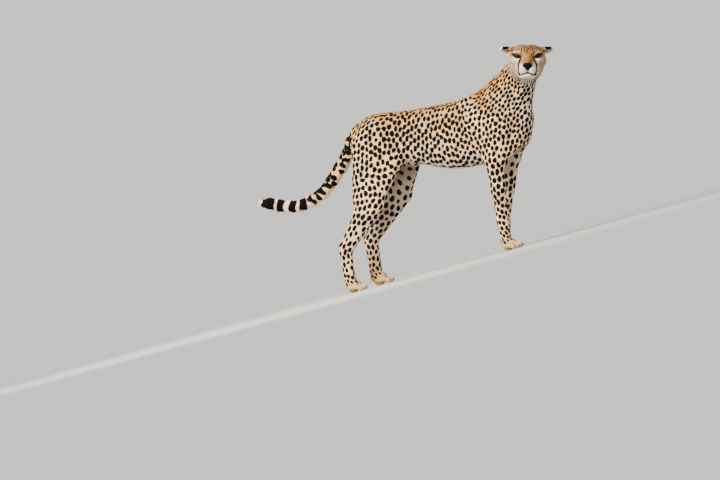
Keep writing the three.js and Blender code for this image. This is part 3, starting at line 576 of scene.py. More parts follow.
def flesh(p):
    """The whole animal, for points of the straight body."""
    d = flow(gather(TORSO_FORMS, p), gather(TAIL_FORMS, p), TAIL_FILLET)
    near = np.flatnonzero(np.linalg.norm(p - HEAD_AT, axis=1) < HEAD_REACH)
    if near.size:
        d[near] = flow(d[near], head_field(p[near]), 1)
    return d


def coat_depth(p):
    """How far the skin lies under the outer surface of the coat."""
    head = np.linalg.norm(p - HEAD_AT, axis=1)
    depth = mix(1.1, 3.4, ease(head, 120, 185))
    for s in (-1, 1):
        depth = mix(0.1, depth, ease(np.linalg.norm(p - from_head(eye_at(s)), axis=1), 23, 32))
    feet = ease(-p[:, 2], -150, -60)
    depth = mix(depth, 1.6, feet)
    tail = ease(-p[:, 0], 380, 460) * ease(p[:, 2], 400, 440)
    return mix(depth, 5.0, tail)


FLOOR_CLEARANCE = 0.6


def skin_field(p):
    d = flesh(p) + coat_depth(p)
    return np.maximum(d, FLOOR_CLEARANCE - p[:, 2])


# ---- a closed net over a field, finer in some boxes than in others


def sampled(field, lo, pitch, counts, span=4):
    """The field at a grid's corners, worked out only in the blocks of corners near the surface."""
    corners = counts + 1
    blocks = -(-corners // span)
    index = np.stack(np.meshgrid(*(np.arange(n) for n in blocks), indexing="ij"), -1).reshape(-1, 3)
    middle = field(lo + pitch * (index * span + (span - 1) / 2))
    reach = pitch * ((span - 1) / 2 * math.sqrt(3) + 1.8)
    values = np.where(middle < 0, -FAR, FAR).reshape(blocks)
    for axis in range(3):
        values = values.repeat(span, axis=axis)
    near = index[np.abs(middle) < reach * 1.6] * span
    inner = np.stack(np.meshgrid(*[np.arange(span)] * 3, indexing="ij"), -1).reshape(-1, 3)
    for part in np.array_split(near, max(1, len(near) // 2000)):
        knots = (part[:, None] + inner).reshape(-1, 3)
        values[tuple(knots.T)] = field(lo + pitch * knots)
    return values[: corners[0], : corners[1], : corners[2]]


class Patch:
    """A box of numbered cubes. The layer outside it carries the numbers of its parent's cubes."""

    def __init__(self, lo, hi, pitch, first, parent=None):
        self.pitch, self.children = pitch, []
        if parent:
            self.start = np.round((np.asarray(lo) - parent.lo) / parent.pitch).astype(int)
            size = np.round((np.asarray(hi) - lo) / parent.pitch).astype(int)
            self.lo, self.counts, self.span = parent.lo + self.start * parent.pitch, size * 2, size
            parent.children.append(self)
            axes = [np.arange(-1, n + 1) // 2 + s + 1 for n, s in zip(self.counts, self.start)]
            self.numbers = parent.numbers[np.ix_(*axes)].copy()
        else:
            self.lo = np.asarray(lo, float)
            self.counts = np.ceil((np.asarray(hi) - lo) / pitch).astype(int)
            self.numbers = np.full(self.counts + 2, -1, dtype=np.int64)
        inner = first + np.arange(np.prod(self.counts), dtype=np.int64)
        self.numbers[1:-1, 1:-1, 1:-1] = inner.reshape(self.counts)
        self.next = first + len(inner)

    def crossings(self, field):
        """The grid's edges that the surface crosses: the four cubes round each, and where it crosses."""
        values = sampled(field, self.lo, self.pitch, self.counts)
        rings, points = [], []
        for axis in range(3):
            u, w = (axis + 1) % 3, (axis + 2) % 3
            low = values.take(range(self.counts[axis]), axis)
            high = values.take(range(1, self.counts[axis] + 1), axis)
            cross = (low < 0) != (high < 0)
            for child in self.children:
                a, b = child.start, child.start + child.span
                cut = [slice(a[k], b[k] + (k != axis)) for k in range(3)]
                cross[tuple(cut)] = False
            at = np.stack(np.nonzero(cross), 1)
            v0, v1 = low[cross], high[cross]
            spot = at.astype(float)
            spot[:, axis] += v0 / (v0 - v1)
            ring = np.empty((len(at), 4), dtype=np.int64)
            for k, (du, dw) in enumerate(((0, 0), (-1, 0), (-1, -1), (0, -1))):
                cell = at + 1
                cell[:, u] += du
                cell[:, w] += dw
                ring[:, k] = self.numbers[tuple(cell.T)]
            ring[v0 >= 0] = ring[v0 >= 0, ::-1]
            rings.append(ring)
            points.append(self.lo + self.pitch * spot)
        return rings, points


def lay_net(field, lo, hi, pitch, finer=()):
    """Knots and facets over a field's surface. finer holds boxes: lo, hi, and their parent or -1."""
    patches = [Patch(lo, hi, pitch, 0)]
    for child_lo, child_hi, parent in finer:
        owner = patches[parent + 1]
        step = owner.pitch
        box = (np.asarray(c, float) for c in (child_lo, child_hi))
        snapped = [np.round((c - owner.lo) / step) * step + owner.lo for c in box]
        patches.append(Patch(*snapped, step / 2, patches[-1].next, owner))
    rings, points = [], []
    for patch in patches:
        r, p = patch.crossings(field)
        rings += r
        points += p
    rings, points = np.concatenate(rings), np.concatenate(points)
    if rings.min() < 0:
        raise RuntimeError("the surface runs out of the grid")
    corner = np.unique(rings.ravel(), return_inverse=True)[1]
    total = [np.bincount(corner, np.repeat(points[:, k], 4)) for k in range(3)]
    return np.stack(total, 1) / np.bincount(corner)[:, None], corner.reshape(-1, 4)


def slope_of(field, p, h=0.35):
    value = field(p)
    steps = [(field(p + h * axis) - value) / h for axis in np.eye(3)]
    return value, np.stack(steps, 1)


EVENING = 0.4  # how far a knot moves in each round towards the middle of those next to it


def settle(field, knots, quads, rounds=4, longest=3.0):
    """Evens the net a little and brings its knots onto the surface. Also gives the surface's normals."""
    a, b = quads.T.ravel(), np.roll(quads, -1, axis=1).T.ravel()
    real = a != b
    a, b = a[real], b[real]
    count = np.bincount(a, minlength=len(knots))
    for turn in range(rounds):
        value, slope = slope_of(field, knots)
        steep = dot(slope, slope)
        good = steep > 0.05
        move = np.clip(-value / np.maximum(steep, 0.05), -longest, longest)[:, None] * slope
        knots = knots + np.where(good[:, None], move, 0)
        if turn < rounds - 1:
            total = [np.bincount(a, knots[b, k], len(knots)) for k in range(3)]
            mean = np.stack(total, 1) / count[:, None]
            normal = unit(slope)
            drift = (mean - knots) * EVENING
            knots = knots + drift - normal * dot(drift, normal)[:, None]
    return knots, unit(slope_of(field, knots)[1])


# ---- what each part of the body is like: lie of the coat, lengths, marks

PARTS = ("trunk", "neck", "head", "tail", "fore_right", "fore_left", "hind_right", "hind_left")
SHARE_FADE, WAY_FADE = 7.0, 14.0  # how gently one part, or one stretch of it, gives way to the next


def part_shares(p):
    """How much each part has a say at each point. The shares of a point add up to 1."""
    q = to_head(p)
    distances = [
        gather(TRUNK_FORMS, p),
        gather(NECK_FORMS, p),
        gather(HEAD_FORMS, q),
        gather(TAIL_FORMS, p),
        *(gather(forms, p) for forms in LEG_FORMS),
    ]
    for s in (-1, 1):
        near = np.linalg.norm(q - EAR["root"] * (1, s, 1), axis=1) < 90
        distances[2] = np.where(near, np.minimum(distances[2], ear_field(s, q)), distances[2])
    d = np.minimum(np.stack(distances, 1), 400)
    weight = np.exp(-(d - d.min(axis=1, keepdims=True)) / SHARE_FADE)
    return weight / weight.sum(axis=1, keepdims=True)


def chain_way(points, p):
    """The way along a chain of points, blended between its stretches."""
    ways, weights = np.zeros_like(p), np.zeros(len(p))
    for a, b in zip(points, points[1:]):
        d = polyline_distance((a, b), p)
        w = np.exp(-d / WAY_FADE) + 1e-12
        ways += w[:, None] * unit(b - a)
        weights += w
    return ways / weights[:, None]


def lie_of_coat(p, normal, shares):
    """Unit vectors along the skin, the way the hair lies."""
    q = to_head(p)
    way = np.zeros_like(p)
    flank = np.stack([np.full(len(p), -1.0), np.zeros(len(p)), -0.3 * ease(-normal[:, 2], -0.7, 0.3)], 1)
    flank[:, 2] -= 1.1 * ease(p[:, 0], 380, 520)
    way += shares[:, :1] * unit(flank)
    way += shares[:, 1:2] * unit(vec(-0.72, 0.06, -0.7))
    radial = q - vec(86, 0, -40)
    ears = ease(np.abs(q[:, 1]), 74, 92) * ease(q[:, 2], -20, 0)
    outward = np.stack([np.full(len(p), -0.3), np.sign(q[:, 1]), np.full(len(p), 0.1)], 1)
    way += shares[:, 2:3] * (mix(unit(radial), unit(outward), ears[:, None]) @ HEAD_TURN.T)
    way += shares[:, 3:4] * chain_way(TAIL_POINTS, p)
    for k, (kind, side) in enumerate(PAWS):
        joints = [JOINTS[side][name] for name in BONES[kind]]
        ahead = joints[-1] + paw_frame(kind, side)[1] @ vec(60, 0, -26)
        way += shares[:, 4 + k : 5 + k] * chain_way([*joints, ahead], p)
    return unit(flattened(way, normal) + 1e-6)


def by_part(shares, **values):
    """A value per point, from one per part: trunk, neck, head, tail, fore, hind."""
    return sum(shares[:, i] * values[name.split("_")[0]] for i, name in enumerate(PARTS))


# ---- colours

PALETTE = {
    "tawny": (0.77, 0.565, 0.32),
    "back": (0.61, 0.45, 0.26),
    "cream": (0.95, 0.825, 0.64),
    "belly": (0.90, 0.83, 0.73),
    "leg": (0.93, 0.81, 0.63),
    "foot": (0.78, 0.635, 0.445),
    "crown": (0.60, 0.43, 0.25),
    "bridge": (0.54, 0.39, 0.235),
    "white": (0.88, 0.85, 0.79),
    "cheek": (0.75, 0.63, 0.48),
    "jaw": (0.72, 0.64, 0.54),
    "nose_top": (0.40, 0.335, 0.24),
    "ear_lining": (0.82, 0.72, 0.57),
    # inner: painted shade on the sides of the legs that face each other
    "inner": (0.76, 0.69, 0.60),
    # painted shade in the fold where the hind legs meet the body
    "groin_shade": (0.50, 0.44, 0.38),
    "mark": (0.045, 0.024, 0.016),
}


def linear(rgb):
    c = np.asarray(rgb, float)
    return np.where(c <= 0.04045, c / 12.92, ((c + 0.055) / 1.055) ** 2.4)


TONE = {name: linear(rgb) for name, rgb in PALETTE.items()}


def blotch(p, scale, seed):
    """A smooth random value per point, about -1 to 1: a few waves that cross each other."""
    rng = np.random.default_rng(seed)
    total = np.zeros(len(p))
    for _ in range(7):
        wave = unit(rng.normal(size=3)) * rng.uniform(0.6, 1.6) / scale
        total += np.sin(p @ wave + rng.uniform(0, 6.3))
    return total / 3.2


def plain(name, p):
    return np.tile(TONE[name], (len(p), 1))


def toned(colour, name, t):
    return mix(colour, TONE[name], np.clip(t, 0, 1)[:, None])


def head_ground(q):
    """The ground colour of the face, crown, cheeks and ears, in the head's frame."""
    y, z = np.abs(q[:, 1]), q[:, 2]
    colour = toned(plain("crown", q), "cheek", ease(y, 30, 52) * ease(-z, -8, 18))
    colour = toned(colour, "jaw", ease(y, 34, 58) * ease(-z, 18, 56))
    front = ease(q[:, 0], -30, 0)
    colour = toned(colour, "bridge", front * ease(-y, -26, -14) * ease(-z, 0, 20))
    colour = toned(colour, "nose_top", front * ease(-y, -16, -6) * ease(-z, 14, 34) * 0.9)
    brow = np.exp(-(((y - 44) / 17) ** 2) - ((z - 17) / 5.0) ** 2)
    colour = toned(colour, "white", front * brow * 0.75)
    under = np.exp(-(((y - 57) / 17) ** 2) - ((z + 19) / 8) ** 2)
    colour = toned(colour, "white", front * under * 0.9)
    muzzle = ease(-z, 48, 60) * ease(-y, -46, -38) * ease(z, -96, -86) * front
    lip_side = ease(y, 18, 27) * ease(-z, 30, 52) * ease(-y, -41, -33) * front
    colour = toned(colour, "white", np.maximum(muzzle, lip_side * 0.85))
    colour = toned(colour, "white", ease(-z, 78, 90) * ease(-y, -35, -18) * 0.85)
    for s in (-1, 1):
        centre, axes = ear_frame(s)
        e = (q - centre) @ axes
        own = ease(e[:, 0], -22, -8) * ease(s * q[:, 1], 60, 74)
        inside = ease(e[:, 2] - 3, 0, 4)
        colour = toned(colour, "ear_lining", own * inside)
        colour = toned(colour, "cheek", own * (1 - inside))
        edge = ease(np.hypot(e[:, 0] / EAR["length"], e[:, 1] / EAR["width"]), 0.6, 0.85)
        colour = toned(colour, "white", own * edge * ease(e[:, 0], 4, 20))
    return colour


def ground_colour(p, normal, shares):
    """The coat's colour under its marks."""
    q = to_head(p)
    along = ease(normal[:, 2], -0.3, 0.6)
    trunk = toned(plain("cream", p), "tawny", along * 0.75)
    trunk = toned(trunk, "back", ease(normal[:, 2], 0.55, 0.98) * 0.85)
    trunk = toned(trunk, "belly", ease(-normal[:, 2], 0.1, 0.75))
    chest = ease(p[:, 0], 470, 560) * ease(-np.abs(p[:, 1]), -75, -35) * ease(-p[:, 2], -800, -740)
    trunk = toned(trunk, "belly", chest)
    neck = toned(plain("cream", p), "tawny", ease(normal[:, 2], -0.3, 0.7))
    neck = toned(neck, "belly", ease(normal[:, 0], 0.1, 0.8) * ease(-normal[:, 2], -0.5, 0.2))
    tail = toned(plain("cream", p), "tawny", ease(normal[:, 2], -0.2, 0.8) * 0.8)
    tail = toned(tail, "belly", ease(-p[:, 0], 560, 700))
    colour = shares[:, :1] * trunk + shares[:, 1:2] * neck
    colour += shares[:, 2:3] * head_ground(q) + shares[:, 3:4] * tail
    for k, (kind, side) in enumerate(PAWS):
        s = SIDES[side]
        leg = toned(plain("leg", p), "cream", ease(p[:, 2], 260, 480))
        if kind == "hind":
            leg = toned(leg, "tawny", ease(p[:, 2], 520, 720) * 0.35)
        inside = ease(-s * normal[:, 1], 0.15, 0.8)
        # Painted shade: the sides of the legs that face the body's middle are greyer and darker.
        leg = toned(leg, "inner", inside * ease(p[:, 2], 90, 260))
        # Painted shade in the groin: the upper inner sides of the hind legs are darker still.
        leg = toned(leg, "groin_shade", inside * ease(p[:, 2], 400, 500) * (kind == "hind") * 0.7)
        leg = toned(leg, "foot", ease(-p[:, 2], -110, -30))
        colour += shares[:, 4 + k : 5 + k] * leg
    patchy = 1 + 0.05 * blotch(p, 34, 5)
    warmer = by_part(shares, trunk=0.5, neck=0.55, head=0.0, tail=0.3, fore=0.3, hind=0.35)
    veins = ease(blotch(p, 9, 11), 0.1, 1.2) * warmer * ease(normal[:, 2], -0.7, 0.2)
    return toned(colour, "tawny", veins) * patchy[:, None]


# ---- marks

NO_MARK = 30.0  # the distance given where no mark is near

# Radius of a spot, and the least distance from its middle to the next one's, by place.
SPOTS = {
    "flank": (13.6, 21.6),
    "rump": (13.9, 21.0),
    "shoulder": (12.0, 17.8),
    "back": (13.6, 18.2),
    "belly": (12.0, 22.0),
    "nape": (12.0, 16.2),
    "throat": (12.4, 19.0),
    "face": (3.7, 8.8),
    "tail": (9.5, 23),
    "wrist": (11.0, 18.0),
    "forearm": (14.0, 23.0),
    "upper_arm": (13.2, 19.8),
    "hock": (11.4, 20.0),
    "shank": (15.0, 22.6),
    "thigh": (14.4, 21.6),
}


def wanted_spots(p, normal, shares):
    """For each point: a spot's radius, distance to the next, how drawn out, how dark, how bare."""
    high = p[:, 2]
    top, under = ease(normal[:, 2], 0.4, 0.9), ease(-normal[:, 2], 0.3, 0.8)
    front, rump = ease(p[:, 0], 180, 330), ease(-p[:, 0], 40, 200)
    upper, middle = ease(high, 330, 520), ease(high, 150, 330)
    throat = ease(normal[:, 0], 0.3, 0.9)

    def sized(k):
        at = {where: sizes[k] for where, sizes in SPOTS.items()}
        trunk = mix(mix(at["flank"], at["rump"], rump), at["shoulder"], front)
        trunk = mix(mix(trunk, at["back"], top), at["belly"], under)
        neck = mix(at["nape"], at["throat"], throat)
        fore = mix(mix(at["wrist"], at["forearm"], middle), at["upper_arm"], upper)
        hind = mix(mix(at["hock"], at["shank"], middle), at["thigh"], upper)
        head, tail = at["face"], at["tail"]
        return by_part(shares, trunk=trunk, neck=neck, head=head, tail=tail, fore=fore, hind=hind)

    radius, gap = sized(0), sized(1)
    leg = mix(1.45, 1.35, upper)
    drawn = by_part(shares, trunk=mix(1.45, 1.6, top), neck=1.4, head=1.25, tail=1.2, fore=leg, hind=leg)
    inner = np.zeros(len(p))
    for k, (_, side) in enumerate(PAWS):
        inner += shares[:, 4 + k] * ease(-SIDES[side] * normal[:, 1], 0.2, 0.8)
    radius, gap = radius * (1 - 0.1 * inner), gap * (1 + 0.45 * (inner * ease(high, 300, 400)))
    dark = by_part(shares, trunk=mix(1.0, 0.95, under), neck=1.0, head=0.9, tail=1.0, fore=1.0, hind=1.0)
    dark = dark * (1 - 0.12 * inner)
    q = to_head(p)
    y, z = np.abs(q[:, 1]), q[:, 2]
    front = shares[:, 2] * ease(q[:, 0], -22, -8)
    muzzle = front * ease(-z, -16, -8) * ease(-y, -64, -54)
    brow = front * ease(z, 8, 12) * ease(-z, -40, -34) * ease(-y, -36, -30)
    ears = shares[:, 2] * ease(y, 72, 84) * ease(z, -14, -4)
    tail = shares[:, 3] * ease(-p[:, 0], 380, 430)
    legs = shares[:, 4:].sum(1)
    bare = np.max([muzzle, brow, ears, tail, legs * ease(-high, -56, -30)], axis=0)
    smaller = 1 - 0.32 * legs * ease(-high, -110, -45)
    return radius * smaller, gap * smaller, drawn, dark, bare


EVEN_STEP = 1.31  # spacing of evenly set spots, as a share of the least gap
PUSH = 0.36  # how much of its way a spot goes in each round
MOST_OF_ROOM = 0.88  # how much of the way between two spots' middles they may cover
SIZES_VARY, STRETCH_VARIES = (0.84, 1.06), (0.85, 1.12)  # by a random factor, from and to
LEAN_VARIES = 0.16  # in radians
SMALL_SHARE, SMALL_SIZE = 0.08, 0.68  # how many spots are small, and how small
LONGER, NARROWER = 0.1, 0.3  # what a fitted spot's half length gains and its half width loses


def tree_of(points):
    tree = kdtree.KDTree(len(points))
    for i, point in enumerate(points):
        tree.insert(point, i)
    tree.balance()
    return tree


def neighbours(at, along, drawn):
    """Each spot's nearest others, the way from them, and how far off they are, less along the spot."""
    tree = tree_of(at)
    near = np.array([[found[1] for found in tree.find_n(spot, 10)[1:]] for spot in at])
    away = at[:, None] - at[near]
    lengthwise = np.einsum("ijk,ik->ij", away, along) ** 2
    across = np.einsum("ijk,ijk->ij", away, away) - lengthwise
    return near, away, np.sqrt(lengthwise / drawn[:, None] + across * drawn[:, None]) + 1e-6


def fitted(sizes, near, far, rounds=4):
    """Spots made smaller where two would touch."""
    for _ in range(rounds):
        over = sizes[:, None] + sizes[near] - MOST_OF_ROOM * far
        sizes = sizes - np.maximum(over.max(1), 0) / 2
    return sizes


def evened(kept, p, normal, gap, allowed, along, drawn, rounds=110):
    """Spots push their neighbours away over the skin until they stand evenly."""
    free = np.flatnonzero(allowed)
    skin = tree_of(p[free])

    def under(at):
        return free[[skin.find(spot)[1] for spot in at]]

    at = p[kept]
    for _ in range(rounds):
        here = under(at)
        near, away, far = neighbours(at, along[here], drawn[here])
        want = EVEN_STEP * (gap[here][:, None] + gap[here][near]) / 2
        same_side = np.einsum("ik,ijk->ij", normal[here], normal[here][near]) > -0.1
        push = np.maximum(1 - far / want, 0) * same_side
        at = at + PUSH * (away / far[..., None] * (push * want)[..., None]).sum(1)
        here = under(at)
        off = flattened(at - p[here], normal[here])
        at = p[here] + off * np.minimum(1, 5 / (np.linalg.norm(off, axis=1) + 1e-6))[:, None]
    return here, at


SPOT_CELL = 30.0  # wider than any two spots' least distance
MARK_CELL = 26.0  # wider than the reach of any spot
AROUND = list(itertools.product((-1, 0, 1), repeat=3))


def throw_spots(p, normal, lie, shares):
    """Scatters spots over the skin so that none comes too near another, then spaces them evenly."""
    rng = np.random.default_rng(SEED)
    radius, gap, drawn, dark, bare = wanted_spots(p, normal, shares)
    table, kept = {}, []
    cells = np.floor(p / SPOT_CELL).astype(int).tolist()
    for i in rng.permutation(np.flatnonzero(bare < 0.5)):
        x, y, z = cells[i]
        near = [j for a, b, c in AROUND for j in table.get((x + a, y + b, z + c), ())]
        if near and (np.linalg.norm(p[near] - p[i], axis=1) < (gap[near] + gap[i]) / 2).any():
            continue
        table.setdefault((x, y, z), []).append(i)
        kept.append(i)
    upper = shares[:, 0] + shares[:, 6:].sum(1) * ease(p[:, 2], 430, 560)
    upright = upper * ease(-normal[:, 2], -0.985, -0.93) * ease(-p[:, 0], -460, -380)
    tall = np.stack([mix(0.3, 0.55, ease(-p[:, 0], 20, 180)), np.zeros(len(p)), np.ones(len(p))], 1)
    along = unit(mix(lie, unit(flattened(tall, normal)), np.minimum(upright, 1)[:, None]))
    kept, at = evened(np.array(kept), p, normal, gap, bare < 0.5, along, drawn)
    near, _, far = neighbours(at, along[kept], drawn[kept])
    sizes = radius[kept] * rng.uniform(*SIZES_VARY, len(kept))
    sizes *= np.where(rng.random(len(kept)) < SMALL_SHARE, SMALL_SIZE, 1.0)
    sizes = fitted(sizes, near, far)
    n, along = normal[kept], along[kept]
    tilt = rng.normal(0, LEAN_VARIES, len(kept))
    way = along * np.cos(tilt)[:, None] + np.cross(n, along) * np.sin(tilt)[:, None]
    stretch = drawn[kept] * rng.uniform(*STRETCH_VARIES, len(kept))
    return {
        "at": at,
        "normal": n,
        "way": way,
        "long": sizes * np.sqrt(stretch) + LONGER,
        "wide": sizes / np.sqrt(stretch) - NARROWER,
        "dark": dark[kept],
        "wobble": rng.uniform(0, 6.28, (len(kept), 2)),
    }


TAIL_STEPS = np.linalg.norm(np.diff(TAIL_POINTS, axis=0), axis=1)
TAIL_FROM_TIP = np.concatenate([[0], np.cumsum(TAIL_STEPS[::-1])])[::-1] + TAIL[-1][1]
# The tail's rings: from and to, measured from its tip.
RINGS = ((16, 80), (93, 129), (156, 191), (209, 247))
PAIRS_FROM, PAIRS_TO, PAIR_STEP = 276, 640, 32
# The blotches at each step: angle from the tail's upper side, how far on, radius near tip and root.
PAIRS = ((-0.7, 0, 17.5, 15.5), (0.7, 0, 17.5, 15.5), (-1.95, 8, 15.5, 14.0), (1.95, 8, 15.5, 14.0))


def tail_place(p):
    """Distance from the tail's tip, and the angle round it from its upper side."""
    best, where, side = np.full(len(p), FAR), np.zeros(len(p)), np.zeros(len(p))
    for i, (a, b) in enumerate(zip(TAIL_POINTS, TAIL_POINTS[1:])):
        t, q = beside(a, b, p, 0 if i else -1, 1 if i < len(TAIL_STEPS) - 1 else 2)
        d = np.linalg.norm(q, axis=1)
        up = unit(np.cross(np.cross(b - a, vec(0.55, 0, 1)), b - a))
        angle = np.arctan2(q[:, 1], q @ up)
        nearer = d < best
        best = np.where(nearer, d, best)
        where = np.where(nearer, mix(TAIL_FROM_TIP[i], TAIL_FROM_TIP[i + 1], t), where)
        side = np.where(nearer, angle, side)
    return where, side


def tail_marks(p, normal, lie, shares, rng):
    """The paired blotches on the upper part of the tail, as spots."""
    where, angle = tail_place(p)
    own = np.flatnonzero(shares[:, 3] > 0.5)
    found, sizes = [], []
    for step, s in enumerate(np.arange(PAIRS_FROM, PAIRS_TO, PAIR_STEP)):
        for theta, further, wide, narrow in PAIRS:
            turn = theta + rng.normal(0, 0.14) + (0.16 if step % 2 else -0.16)
            from_tip = s + rng.normal(0, 3) + further
            miss = (where[own] - from_tip) ** 2 + ((angle[own] - turn) * 27) ** 2
            found.append(own[np.argmin(miss)])
            sizes.append(mix(wide, narrow, ease(s, 430, 640)) * rng.uniform(0.88, 1.12))
    found, sizes = np.array(found), np.array(sizes)
    return {
        "at": p[found],
        "normal": normal[found],
        "way": unit(np.cross(normal[found], lie[found])),
        "long": sizes * 1.15,
        "wide": sizes * 0.8,
        "dark": np.ones(len(found)),
        "wobble": rng.uniform(0, 6.28, (len(found), 2)),
    }


def spot_distance(spots, p):
    """Distance to the edge of the nearest spot, negative inside it, and that spot's darkness."""

    def key(c):
        return (np.floor(c / MARK_CELL).astype(np.int64) + 100) @ (1, 4096, 4096 * 4096)

    owner = np.repeat(np.arange(len(spots["at"])), len(AROUND))
    keys = key((spots["at"][:, None] + np.array(AROUND) * MARK_CELL).reshape(-1, 3))
    order = np.argsort(keys, kind="stable")
    keys, owner = keys[order], owner[order]
    own = key(p)
    first, last = np.searchsorted(keys, own, "left"), np.searchsorted(keys, own, "right")
    best, dark = np.full(len(p), NO_MARK), np.zeros(len(p))
    for r in range(int((last - first).max(initial=0))):
        has = np.flatnonzero(first + r < last)
        j = owner[first[has] + r]
        d = p[has] - spots["at"][j]
        n, way = spots["normal"][j], spots["way"][j]
        u, v, depth = dot(d, way), dot(d, np.cross(n, way)), dot(d, n)
        angle = np.arctan2(v, u)
        phase, phase_ = spots["wobble"][j].T
        wobble = 1 + 0.07 * np.sin(2 * angle + phase) + 0.06 * np.sin(3 * angle + phase_)
        a, b = spots["long"][j] * wobble, spots["wide"][j] * wobble
        size = np.sqrt((u / a) ** 2 + (v / b) ** 2 + (depth / (a * 1.6)) ** 2)
        edge = (size - 1) * np.minimum(a, b)
        nearer = edge < best[has]
        best[has[nearer]] = edge[nearer]
        dark[has[nearer]] = spots["dark"][j[nearer]]
    return best, dark


def seen_from_ahead(line, q):
    """Distance from a line as it looks from straight ahead of the face."""
    return polyline_distance(line * vec(0, 1, 1), q * (0, 1, 1))


def face_marks(q, normal, lip=0.0):
    """Distance to the edge of the marks on the face, lips, brow and ears, the dark upper ear cups being
    painted shade, and how dark they are.
    """
    mirror = q * (1, 0, 1) + np.abs(q * (0, 1, 0))
    flat = mirror * (0, 1, 1)
    front = q[:, 0] > -14
    none = np.full(len(q), NO_MARK)
    width = mix(4.1, 3.4, ease(-flat[:, 2], 10, 80))
    tear = np.where(front, polyline_distance(TEAR_LINE, flat) - width, none)
    marks = [(tear, 1.0)]
    for s in (-1, 1):
        own = (q - eye_at(s)) @ eye_axes(s)
        rim = np.where(own[:, 0] > 0, almond(s, own) - 3.8, none)
        outer = seen_from_ahead([(14, s * 60, 3), (6, s * 69, 6)], q) - 2.4
        marks += [(rim, 1.0), (np.where(front, outer, none), 1.0)]
    lips = polyline_distance(LIP_LINE, q) - 1.8 - lip
    lips = np.minimum(lips, seen_from_ahead(LIP_LINE, q) - 1.9 - 0.3 * lip)
    groove = polyline_distance([(0, 0, -60), (0, 0, -80)], flat) - 1.3
    marks += [(np.where(q[:, 0] > 10, lips, none), 0.97), (np.where(q[:, 0] > 40, groove, none), 0.9)]
    for y, low, high, half in ((3, 10, 32, 1.3), (14, 20, 44, 1.6), (27, 15, 34, 2.2)):
        streak = polyline_distance([(0, y, low), (0, y * 0.9, high)], flat) - half
        marks.append((np.where(front, streak, none), 0.75))
    for row in range(4):
        for k in range(5):
            root = vec(0, 16 + 5.2 * k, -58 - 5.5 * row + 1.2 * k)
            away = np.linalg.norm(flat - root, axis=1) - 1.1
            marks.append((np.where(q[:, 0] > 25, away, none), 0.6))
    for s in (-1, 1):
        centre, axes = ear_frame(s)
        e = (q - centre) @ axes
        facing = (normal @ axes)[:, 2]
        round_it = np.hypot(e[:, 0] / EAR["length"], e[:, 1] / EAR["width"])
        # Black on the ear's back, its real colour, and on the upper part of the ear's cup, painted
        # shade.
        ear_back_and_cup_shade = np.minimum(12 * (facing - 0.12), -2 - s * e[:, 1])
        near = np.maximum(20 * (round_it - 1.1), np.abs(e[:, 2]) - 18)
        back = np.maximum(np.maximum(ear_back_and_cup_shade, near), np.maximum(e[:, 0] - 27, -5 - e[:, 0]))
        marks.append((np.where(s * q[:, 1] > 58, back, none), 0.98))
    best, dark = none, np.zeros(len(q))
    for edge, strength in marks:
        nearer = (edge < best) & ((edge < 1.0) | (best > 3.0))
        best, dark = np.where(nearer, edge, best), np.where(nearer, strength, dark)
    return best, dark


def toe_gap_shade(p):
    """Distance to the edge of the painted shade lines in the gaps between each paw's toes."""
    for kind, side in PAWS:
        origin, turn = paw_frame(kind, side)
        own = (p - origin) @ turn
        for i in range(TOE["count"] - 1):
            (_, knuckle, tip), (_, knuckle_, tip_) = toe_joints(i), toe_joints(i + 1)
            line = np.stack([(knuckle + knuckle_) / 2, (tip + tip_) / 2]) * (1, 1, 0)
            edge = polyline_distance(line, own * (1, 1, 0)) - 1.5
            yield np.where(p[:, 2] < 38, edge, NO_MARK)


def lay_over(best, dark, own, edge, strength, within=NO_MARK):
    """Puts marks over the others, at the points own, where their edge is nearer and less than within."""
    nearer = edge < np.minimum(best[own], within)
    best[own] = np.where(nearer, edge, best[own])
    dark[own] = np.where(nearer, strength, dark[own])


def marks_at(spots, p, normal, shares, lip=0.0):
    """Distance to the edge of the nearest mark, and how dark it is. The lips reach lip further."""
    best, dark = spot_distance(spots, p)
    head = np.flatnonzero(shares[:, 2] > 0.3)
    lay_over(best, dark, head, *face_marks(to_head(p[head]), normal[head] @ HEAD_TURN, lip), 2.0)
    tail = np.flatnonzero(shares[:, 3] > 0.4)
    where, angle = tail_place(p[tail])
    wavy = where + 3.0 * np.sin(angle * 2 + where * 0.03) + 2.0 * np.sin(angle * 3 + 1.0)
    ring = np.min([np.maximum(low - wavy, wavy - high) for low, high in RINGS], axis=0)
    below = ease(np.abs(angle), 2.2, 2.8) * ease(where, 120, 200)
    lay_over(best, dark, tail, np.minimum(ring, NO_MARK) + 12 * below, 1.0)
    # Painted shade: dark lines in the gaps between the toes.
    for edge in toe_gap_shade(p):
        lay_over(best, dark, slice(None), edge, 0.6, 2.0)
    breast = ease(p[:, 0], 490, 560) * ease(-p[:, 2], -700, -560) * ease(normal[:, 0], 0.1, 0.7)
    blurred = shares[:, 0] * ease(-normal[:, 2], 0.2, 0.7) + 0.8 * breast * shares[:, :2].sum(1)
    return best / (1 + 0.7 * blurred), dark


# ---- meshes and materials


